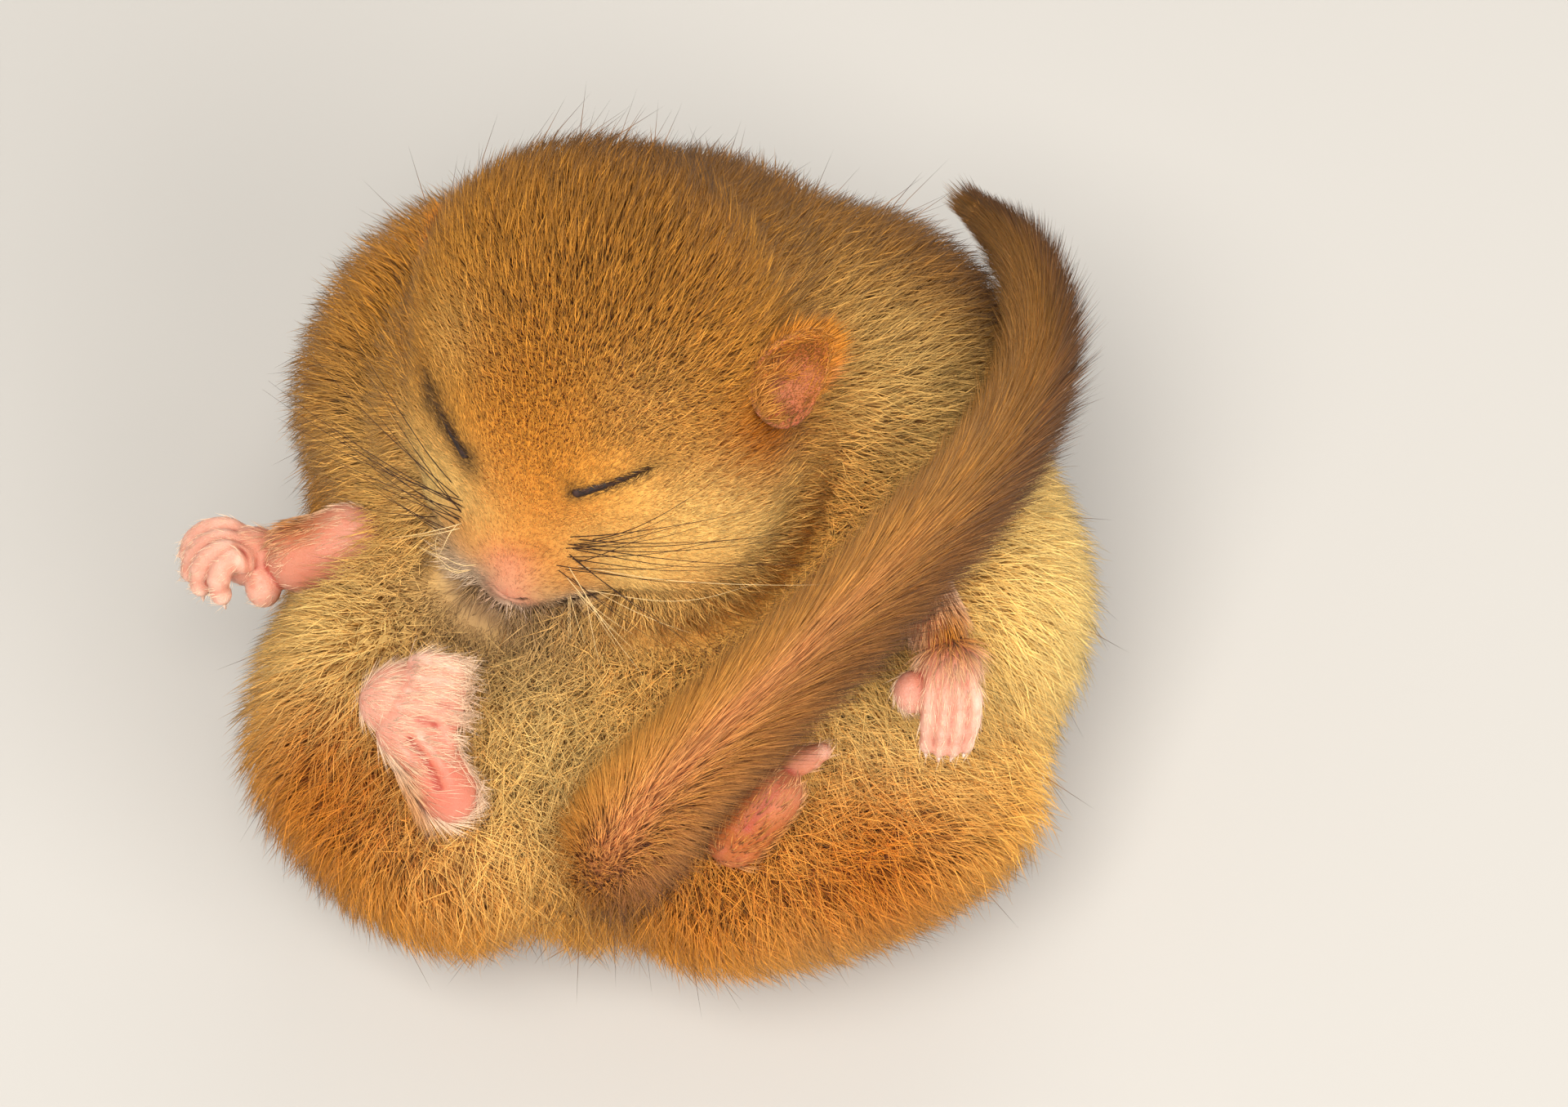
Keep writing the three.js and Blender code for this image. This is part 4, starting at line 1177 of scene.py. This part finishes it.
# %% Skin and hair of the ears
ear_shapes = {}
for side, ear in EARS.items():
    local, triangles, inside, edge = model_ear()
    axes = ear_axes(ear)
    places = local @ axes + on_head(ear["place"])
    normals = vertex_normals(places, triangles)
    ear_shapes[side] = places, triangles
    piece = new_piece(f"ear_{side}_skin", places, [triangles], ear_paint)
    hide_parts(f"ear_{side}")
    # The ear canal is a hollow: the skin and hairs there get painted shade.
    canal_shade = patch(local, [-1.1, -2.4, -0.4], 1.2, 1.0)
    blush = patch(local, [0.2, -1.2, -0.6], 1.0, 0.5) + patch(local, [-1.2, 0.2, -0.9], 0.9, 0.4)
    paint(piece, fold=hollowness(places, triangles, 8) * 0.12 + canal_shade * 0.03 * inside,
          rosy=blush * inside, tan=0.95 - 0.6 * blush * inside - 0.4 * ease(0.86, 1.0, edge))

    crownward = ease(-0.6, 0.8, local[:, 0] / EAR_WIDE)
    crownward = np.maximum(crownward, 0.8 * ease(-0.5, 0.3, local[:, 1] / EAR_LONG)) * inside
    chosen, weights = scatter(places, triangles, 44 + 44 * crownward)
    roots, out = sample(places, chosen, weights), unit(sample(normals, chosen, weights))
    cover = sample(crownward, chosen, weights)
    way = axes[1] * 0.9 + unit(roots - on_head(ear["place"])) * 0.4 + dice.normal(0, 0.22, roots.shape)
    way -= axes[0] * cover[:, None] * 0.8
    way = unit(way - out * (way * out).sum(1)[:, None])
    count = len(roots)
    in_canal_shade = sample(canal_shade, chosen, weights)
    on_rim = sample(edge, chosen, weights)
    long = dice.uniform(0.8, 1.5, count) * (1 + 0.9 * cover)
    wide = (0.024 + 0.02 * cover) * dice.uniform(0.8, 1.3, count)
    bones, widths = bent(roots, out, way, long, wide, dice.uniform(0.2, 0.6, count), 0.03)
    shares = plain_shares(
        count, orange=0.6, cream=0.1 + 0.4 * ease(0.8, 1.0, on_rim), brown=0.1 + in_canal_shade * 0.5,
        rosy=0.7 * sample(blush * inside, chosen, weights), ink=0.6 * in_canal_shade)
    dark = (dice.random(count) < 0.15 + in_canal_shade) * 0.9
    grow(f"ear_{side}_hair", "ear_skin", np.mean(places, axis=0), bones, widths, out, shares, dark)

# %% [markdown]
# ## The bushy tail
#
# The tail comes up between the hind feet, crosses the belly and lies over the left cheek. Under its hair is
# a bare tube of skin. Its hairs are straight and leave the tube at a slant: upright at the root, where they
# stand round it like a brush, and almost flat towards the tip. On the upper left, the lit side, they are
# painted tan and pale, and on the lower right, the shaded side, brown with dark ends, where their ends form a
# fringe: painted light and shade. The root is browner and darker, darker hair and painted shade. Along the
# middle of the near half they stand thinner, so that pink skin glows through.

# %% Sizes of the tail
TAIL_LINE = [
    [-4.0, -19.2, 3.2], [-3.3, -18.1, 8.2], [-1.5, -15.5, 12.5], [1.2, -12.3, 15.2], [4.0, -9.6, 16.4],
    [6.9, -7.0, 16.9], [11.9, -2.2, 16.5], [16.6, 2.5, 15.4], [20.4, 7.2, 13.0], [22.6, 12.0, 9.4],
    [22.7, 16.4, 5.4], [21.4, 19.8, 1.4], [19.4, 22.0, -2.4],
]
TAIL_REACH = [4.4, 4.6, 4.9, 5.1, 5.0, 4.4, 3.8, 3.2, 2.2]
TAIL_BARE = [2.6, 2.0, 1.6, 1.35, 1.1, 0.8, 0.45]
TAIL_PIECES = ["tail_base", "tail_middle", "tail_far", "tail_tip"]
TAIL_TUFTS = 54000
TAIL_HAIR_LONG = [3.0, 4.2, 5.2, 5.8, 5.8, 5.4, 4.8]
TAIL_LIFT = [112, 52, 30, 24, 22, 20, 18, 14, 8]

tail_steps = np.linspace(0, 1, 400)
tail_places, tail_ahead = smooth_line(TAIL_LINE, tail_steps)
tail_run = np.append(0, np.cumsum(np.linalg.norm(np.diff(tail_places, axis=0), axis=1)))
tail_long = tail_run[-1]
print("tail length", round(tail_long, 1), "mm")


def on_tail(values, run):
    """A measure listed along the tail, at some millimetres from its root."""
    step = np.interp(run, tail_run, tail_steps)
    return np.interp(step, np.linspace(0, 1, len(values)), values)


def beside_tail(run, angle, away):
    """Places some way along the tail, at an angle round it and a distance from its middle line."""
    middle = np.stack([np.interp(run, tail_run, tail_places[:, axis]) for axis in range(3)], 1)
    ahead = unit(np.stack([np.interp(run, tail_run, tail_ahead[:, axis]) for axis in range(3)], 1))
    across = unit(np.cross(ahead, [0, 0, 1]))
    out = np.cross(across, ahead)
    beyond = ahead * np.maximum(run - tail_long, 0)[:, None]
    arm = across * np.cos(angle)[:, None] + out * np.sin(angle)[:, None]
    return middle + beyond + arm * away[:, None], arm


# %% Skin of the tail
bare_line = beside_tail(np.linspace(0.3, tail_long - 2.5, 20), np.zeros(20), np.zeros(20))[0]
places, triangles = limb(bare_line, TAIL_BARE, 28, 150)
tail_piece = new_piece("tail_skin", places, [triangles], skin_paint)
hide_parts(*TAIL_PIECES)
paint(tail_piece, along=np.full(len(places), 0.5), chance=np.full(len(places), 0.5),
      dark=np.zeros(len(places)), **plain_shares(len(places), rosy=0.25, brown=0.6))


# %% Hair of the tail
TAIL_MIDDLE = np.array([8.0, -4.0, 12.0])


def grow_tail():
    """Straight hairs that leave the tail at a slant, steepest at its root and on its shaded side."""
    count = TAIL_TUFTS
    run = dice.uniform(0.2, tail_long, count)
    angle = dice.uniform(0, 2 * math.pi, count)
    facing_us = np.exp(-((angle - 1.6) / 0.5) ** 2) * ease(0.6, 0.3, run / tail_long) * ease(4, 9, run)
    kept = dice.random(count) > facing_us * 0.5
    run, angle, facing_us = run[kept], angle[kept], facing_us[kept]
    count = len(run)
    # Shade is 1 on the lower right, the tail's side away from the light; it paints shade into the hairs
    # there.
    side = np.cos(angle + 0.35) + dice.normal(0, 0.22, count)
    shade = ease(-0.1, 0.7, side)
    long = on_tail(TAIL_HAIR_LONG, run) * dice.uniform(0.55, 1.1, count)
    long *= 1 + 0.3 * (dice.random(count) < 0.12) * shade
    lift = on_tail(TAIL_LIFT, run) * (0.75 + 0.7 * shade) + dice.normal(0, 7, count)
    lift = np.radians(lift).clip(0.04, 2.2)
    bare = on_tail(TAIL_BARE, run) * 0.92
    end = np.minimum(run + long * np.cos(lift), tail_long - 1.5 + 5.5 * dice.random(count) ** 1.3)
    point = ease(tail_long - 8, tail_long + 2, end)
    most = on_tail(TAIL_REACH, end) * (1 - 0.25 * np.sin(angle) ** 2) * (1 - 0.5 * point)
    away = np.minimum(bare + long * np.sin(lift), most * dice.uniform(0.85, 1.08 + 0.32 * shade ** 2))
    roots, facing = beside_tail(run, angle, bare)
    tips, _ = beside_tail(end, angle + dice.normal(0, 0.2, count), away)
    tips = gather_locks(roots, tips, 7, np.full(count, 0.15))
    coarse = dice.random(count) < 0.25
    widths = (dice.uniform(0.024, 0.04, count) + 0.022 * coarse)[:, None]
    # Browner and darker at the root, where the tail sinks between the thighs: darker hair and painted shade.
    root_brown = ease(11, 2, run)
    # Painted light and shade: cream and orange on the lit side, brown and dark tips on the shaded side.
    shares = plain_shares(
        count, brown=np.clip(0.1 + 0.6 * shade + 0.6 * root_brown, 0, 0.9), orange=0.4 * (1 - shade),
        cream=0.32 * (1 - shade) * (1 - root_brown), rosy=0.3 * facing_us * (1 - root_brown) + 0.12 * shade)
    shade_here = shade * (dice.random(count) > 0.2)
    streak = dice.uniform(0.1, 0.85, count) + 0.6 * coarse
    dark = np.clip(shade_here * streak + (dice.random(count) < 0.16) * 0.7 + 0.3 * root_brown, 0, 1)
    return np.stack([roots, tips], 1), widths, facing, shares, dark


grow("tail_hair", "tail_fur", TAIL_MIDDLE, *grow_tail())

# %% [markdown]
# ## The coat of body and head
#
# The body's hair is long and soft, curly on the belly and sleeker on the shoulders. On the head it shortens
# step by step from crown to muzzle. The tufts of both come from one list of roots: density, length, width
# and curl follow how near the root is to the nose. There are two layers. The upper one has fewer tufts, each
# with a bend; under it a dense undercoat of shorter straight ones closes the gaps with fewer triangles. No
# tuft may pass through a paw or an ear, and near the eyes and nostrils the hair is cleared from the lines.

# %% Grow the coat
HEAD_STATIONS = [-12, -4, 2, 7, 11, 15, 17]
HEAD_LENGTH = [3.8, 3.2, 2.1, 1.35, 1.0, 0.8, 0.5]
HEAD_DENSITY = [18, 22, 27, 36, 44, 50, 42]
HEAD_WIDTH = [0.048, 0.046, 0.04, 0.033, 0.028, 0.024, 0.02]
BODY_LENGTH, BODY_DENSITY, BODY_WIDTH = 4.6, 12.8, 0.048
LAYERS = {
    "coat": {"thick": 0.6, "long": 1.0, "wide": 1.0, "stray": 1.0, "straight": False},
    "under_coat": {"thick": 1.4, "long": 0.82, "wide": 0.85, "stray": 1.5, "straight": True},
}
BELLY = np.array([-2, -11, 11])
EYE_CLEAR = 0.16
NOSE_REACH, NOSE_CLEAR = 3, 0.2
EYE_DARK = {"left": 0.5, "right": 1.0}
CHIN = on_head([14.5, 0, -5.0])
SHAPES_IN_COAT = [*paw_shapes.values(), *ear_shapes.values()]


def by_head(stations, body, places, head_share):
    """A measure that changes along the head and has one value on the body."""
    return np.interp(to_head(places)[:, 0], HEAD_STATIONS, stations) * head_share + body * (1 - head_share)


# %% Tufts that stay clear of paws and ears, eyes and nostrils


def clear_of(bones, shapes):
    """True for the tufts that pass through none of the shapes."""
    kept = np.ones(len(bones), bool)
    for places, triangles in shapes:
        near = (bones.max(1) > places.min(0)).all(1) & (bones.min(1) < places.max(0)).all(1) & kept
        tree = tree_of(places, triangles)
        for index in np.flatnonzero(near):
            for start, end in zip(bones[index, :-1], bones[index, 1:]):
                way = Vector(end - start)
                if tree.ray_cast(Vector(start), way, way.length)[0] is not None:
                    kept[index] = False
    return kept


def nearest_on(bones, line, samples):
    """How near each tuft comes to a line."""
    return off_line(bones.reshape(-1, 3), line, samples).reshape(len(bones), -1).min(1)


def clear_face_lines(roots, bones, kept, ink):
    """Hair is cleared from the lines of eyes and nostrils, and is inky beside the eyes."""
    by_eye = np.flatnonzero(near_eyes(roots) > 0)
    for side, line in EYE_LINES.items():
        away = nearest_on(bones[by_eye], line, 24)
        kept[by_eye] &= away > EYE_CLEAR
        inky = np.exp(-(away / EYE_DARK[side]) ** 2) * dice.uniform(0.3, 1.3, len(by_eye)).clip(0, 1)
        ink[by_eye] = np.maximum(ink[by_eye], inky)
    by_nose = np.flatnonzero(np.linalg.norm(roots - NOSE, axis=1) < NOSE_REACH)
    for line in nose_lines:
        kept[by_nose] &= nearest_on(bones[by_nose], line, 16) > NOSE_CLEAR


# %% One layer of the coat


def grow_coat(thick, long, wide, stray, straight):
    """The tufts of one layer: if they are on the head, their bones, widths, outward arrows and paint."""
    above = ease(0.5, 4, height_over_floor(skin))
    density = by_head(HEAD_DENSITY, BODY_DENSITY, skin, on_head_share) * (0.35 + 0.65 * above) * thick
    density = density * (1 + 0.7 * near_eyes(skin))
    chosen, weights = scatter(skin, skin_triangles, density)
    roots = sample(skin, chosen, weights)
    out = unit(sample(skin_normals, chosen, weights))
    lie = unit(sample(skin_lie, chosen, weights))
    head = sample(on_head_share, chosen, weights)
    depth = sample(skin_depth, chosen, weights)
    count = len(roots)

    long = long * by_head(HEAD_LENGTH, BODY_LENGTH, roots, head) * dice.uniform(0.78, 1.12, count)
    long *= 1 - 0.3 * near_eyes(roots)
    long *= 1 - patch(roots, CHIN, 3.0, 0.35) * (1 - head)
    wide = wide * by_head(HEAD_WIDTH, BODY_WIDTH, roots, head) * dice.uniform(0.75, 1.2, count)
    curly = np.exp(-(np.linalg.norm(roots - BELLY, axis=1) / 17) ** 2) * (1 - head)
    lift = np.arcsin(np.clip(depth * 1.05 / long, 0.15, 0.95)) + dice.normal(0, 0.12, count)
    sway = dice.normal(0, 1, (count, 3))
    sway = unit(sway - out * (sway * out).sum(1)[:, None])
    stray = stray * (0.26 + 0.12 * (1 - head) + 0.6 * curly) * dice.uniform(0.3, 1.6, count)
    way = unit(lie + sway * stray[:, None])
    bones, widths = bent(roots, out, way, long, wide, lift)
    tip = bones[:, 2] + np.cross(out, sway) * (long * (0.12 * (1 - head) + 0.3 * curly))[:, None]
    bones[:, 2] = gather_locks(roots, tip, 9, 0.05 + 0.1 * (1 - head) * (1 - curly))
    if straight:
        bones, widths = bones[:, [0, 2]], widths[:, :1]

    shares = markings(roots)
    tipped = 0.2 + 0.1 * head + 0.5 * shares["brown"] + 0.25 * head * ease(13, 2, to_head(roots)[:, 0])
    dark = (dice.random(count) < tipped) * dice.uniform(0.4, 1.0, count)
    kept = clear_of(bones, SHAPES_IN_COAT)
    for label in ("rosy", "white", "ink"):
        shares[label] = shares[label] * (head > 0.5)
    clear_face_lines(roots, bones, kept, shares["ink"])
    print("tufts taken away:", int((~kept).sum()))
    shares = {label: share[kept] for label, share in shares.items()}
    return [part[kept] for part in (head, bones, widths, out, dark)], shares


# %% Lay both layers
for layer, measures in LAYERS.items():
    (head, bones, widths, out, dark), shares = grow_coat(**measures)
    for region, slot, chosen, middle in (
            ("head", "golden_fur", head > 0.5, HEAD_PLACE),
            ("body", "pale_fur", head <= 0.5, np.zeros(3))):
        grow(f"{layer}_{region}", slot, middle, bones[chosen], widths[chosen], out[chosen],
             {label: share[chosen] for label, share in shares.items()}, dark[chosen])

# %% [markdown]
# ## Lid rims, lashes and whiskers
#
# The rims of the closed lids are dark, bare and a little moist, so they are pieces of their own: two thin
# soft cords on either side of the slit, thickest at the inner corner. Their near-black is both the rims' own
# dark and the painted shadow in the slit. Short dark lashes lie outward from them. The whiskers spring from
# the pads of the muzzle in two rows, dark above and pale below. Each is a tapered tube, lifted wherever it
# would sink into the coat.

# %% Lid rims and lashes
RIM = [0.32, 0.27, 0.22, 0.19, 0.17, 0.12, 0.03]
RIM_APART = 0.07
RIM_SUNK = 0.12
LASHES = {"left": (220, 0.22), "right": (420, 0.5)}


def line_axes(line):
    """The directions across, out of and along a line on the skin, for each of its places."""
    ahead = unit(np.gradient(line, axis=0))
    normals = np.array([skin_tree.find_nearest(place)[1] for place in line.tolist()])
    normals = np.tile(unit(normals.mean(0)), (len(line), 1))
    return unit(np.cross(normals, ahead)), normals, ahead


def on_line(values, share):
    """Values listed evenly along a line, at some shares of its length."""
    mark = np.linspace(0, 1, len(values))
    return np.stack([np.interp(share, mark, values[:, axis]) for axis in range(3)], 1)


for side, line in EYE_LINES.items():
    aside, out, ahead = line_axes(line)
    middle = line - out * RIM_SUNK
    cords = [limb(middle + aside * RIM_APART * way, RIM, 12, 40) for way in (1, -1)]
    places, triangles = stack(cords)
    piece = new_piece(f"lids_{side}", places, [triangles], lid_rim_and_slit_shade)
    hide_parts(f"eyelids_{side}")

    count, spread = LASHES[side]
    share = dice.random(count) ** 0.85
    which = dice.choice([1.0, -1.0], count)[:, None]
    sideways = on_line(aside, share) * which
    at_root = on_line(line, share) + sideways * dice.uniform(0.05, spread, count)[:, None]
    facing = unit(on_line(out, share))
    way = unit(on_line(ahead, share) + sideways * 0.6 + dice.normal(0, 0.3, (count, 3)))
    way = unit(way - facing * (way * facing).sum(1)[:, None])
    long, wide = dice.uniform(0.35, 0.8, count), dice.uniform(0.012, 0.02, count)
    bones, widths = bent(at_root, facing, way, long, wide, dice.uniform(0.15, 0.5, count), 0.05)
    shares = plain_shares(count, brown=0.9, ink=dice.uniform(0.5, 1.0, count))
    grow(f"lashes_{side}", "eyelid", line.mean(0), bones, widths, facing, shares, np.ones(count))

# %% Roots and tips of the whiskers
WHISKER_ROOTS = np.array([[10.3, 3.4, 0.2], [12.9, 2.5, -2.6]])
WHISKER_WIDTH = {0.0: 0.034, 1.0: 0.025}
WHISKER_ROWS = {1.0: -0.7, 0.72: 0.9}
WHISKER_TIPS = {
    "left": {
        "dark": [
            [4.7, 4.8, 20.5], [7.1, 3.4, 20.5], [2.5, 3.0, 20], [9.2, 2.1, 20], [7.3, 1.4, 19.5],
            [9.7, 0.7, 19.5], [9.3, -0.4, 19], [5.9, -0.8, 18], [1.8, -5.1, 16.5], [2.6, -6.6, 16.5],
        ],
        "pale": [
            [10.2, -0.9, 18.5], [0.3, -5.6, 15.5], [-0.3, -7.2, 14.8], [-2.2, -5.6, 14],
            [-4.1, -6.1, 13.4], [-5.6, -5.4, 13],
        ],
    },
    "right": {
        "dark": [
            [-19.4, 14.7, 18], [-21.1, 13.5, 17], [-22.8, 11.6, 16], [-24.2, 10.2, 15],
            [-22.1, 8.8, 14.5], [-20.4, 6.9, 14], [-19, 5.2, 13.5], [-18, 4.0, 13.5],
        ],
        "pale": [[-16.1, 2.1, 13], [-15.1, 1.1, 12.3], [-14.7, 0.2, 11.8], [-13.6, -0.6, 11.4]],
    },
}


def whisker(root, tip):
    """A whisker that arches from the muzzle to its tip, lifted where it would sink into the coat."""
    share = np.linspace(0, 1, 7)[:, None]
    arch = np.linalg.norm(tip - root) * 0.11
    line = root + (tip - root) * share + np.array([0, -0.25, 1]) * arch * 4 * share * (1 - share)
    for joint in range(1, len(line)):
        near, normal, _, _ = skin_tree.find_nearest(Vector(line[joint].tolist()))
        height = (line[joint] - np.array(near)) @ np.array(normal)
        wanted = 0.5 + min(2.4, arch * 1.6) * min(joint / 4, 1)
        line[joint] += np.array(normal) * max(wanted - height, 0)
    inner = (line[:-2] + line[1:-1] * 2 + line[2:]) / 4
    return np.concatenate([line[:1], inner, line[-1:]])


# %% Set the whiskers
for side, way in (("left", 1), ("right", -1)):
    tips = [(tip, 0.0) for tip in WHISKER_TIPS[side]["dark"]]
    tips += [(tip, 1.0) for tip in WHISKER_TIPS[side]["pale"]]
    shapes, pale = [], []
    for number, (tip, light) in enumerate(tips):
        share = number / (len(tips) - 1)
        for short, forward in WHISKER_ROWS.items():
            root = WHISKER_ROOTS[0] + (WHISKER_ROOTS[1] - WHISKER_ROOTS[0]) * share
            root = root + dice.normal(0, 0.38, 3)
            root[0] += forward
            root = np.array(skin_tree.find_nearest(Vector(on_head(root * [1, way, 1]).tolist()))[0])
            end = root + (np.array(tip) + dice.normal(0, 0.5, 3) - root) * short
            widths = np.array([1, 0.75, 0.45, 0.15]) * WHISKER_WIDTH[light] * (0.75 + 0.25 * short)
            shapes.append(limb(whisker(root, end), widths, 6, 24))
            pale.append(light)
    size = len(shapes[0][0])
    places, triangles = stack(shapes)
    piece = new_piece(f"whiskers_{side}", places, [triangles], hair_paint)
    light = np.repeat(pale, size)
    paint(piece, along=np.ones(len(places)), chance=np.full(len(places), 0.4), dark=1 - light,
          **plain_shares(len(places), cream=light * 0.8, white=light * 0.3, ink=1 - light))
    print("whiskers", side, len(shapes))

# %% [markdown]
# ## Guard hairs
#
# Long dark hairs stand out of the soft coat, most of all on the crown and along the back, and end a
# millimetre or two beyond it. They break the outline, so that the animal does not look trimmed.

# %% Grow the guard hairs
GUARD_DENSITY, GUARD_LONG = 0.42, 5.6


def grow_guard_hairs():
    brown = markings(skin)["brown"]
    behind = ease(4, -3, to_head(skin)[:, 0])
    density = GUARD_DENSITY * (0.35 + brown) * (1 - on_head_share * (1 - behind))
    density *= ease(3, 8, height_over_floor(skin))
    chosen, weights = scatter(skin, skin_triangles, density)
    roots = sample(skin, chosen, weights)
    out = unit(sample(skin_normals, chosen, weights))
    way = unit(sample(skin_lie, chosen, weights) + dice.normal(0, 0.2, roots.shape))
    count = len(roots)
    long, wide = GUARD_LONG * dice.uniform(0.75, 1.15, count), dice.uniform(0.026, 0.038, count)
    bones, widths = bent(roots, out, way, long, wide, dice.uniform(0.4, 0.75, count))
    kept = clear_of(bones, SHAPES_IN_COAT)
    shares = plain_shares(int(kept.sum()), brown=0.8)
    return bones[kept], widths[kept], out[kept], shares, np.ones(int(kept.sum()))


grow("guard_hair", "golden_fur", np.zeros(3), *grow_guard_hairs())

# %% [markdown]
# ## The skin itself
#
# The skin is made a piece last of all, once everything has grown on it. It carries the coat's own finish and
# markings, so that where the hair parts the colour beneath agrees. The pressed grooves of lids, mouth and
# nostrils get painted shade.

# %% Finish
# Painted shade in the pressed grooves of the lids, mouth and nostrils.
groove_shade = ease(0.05, 0.3, np.linalg.norm(skin - skin_plain, axis=1))
skin_piece = new_piece("skin", skin, [skin_triangles], skin_paint)
paint(skin_piece, along=0.6 + 0.4 * groove_shade, chance=np.full(len(skin), 0.3), dark=groove_shade, **markings(skin))
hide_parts(*FLESH)
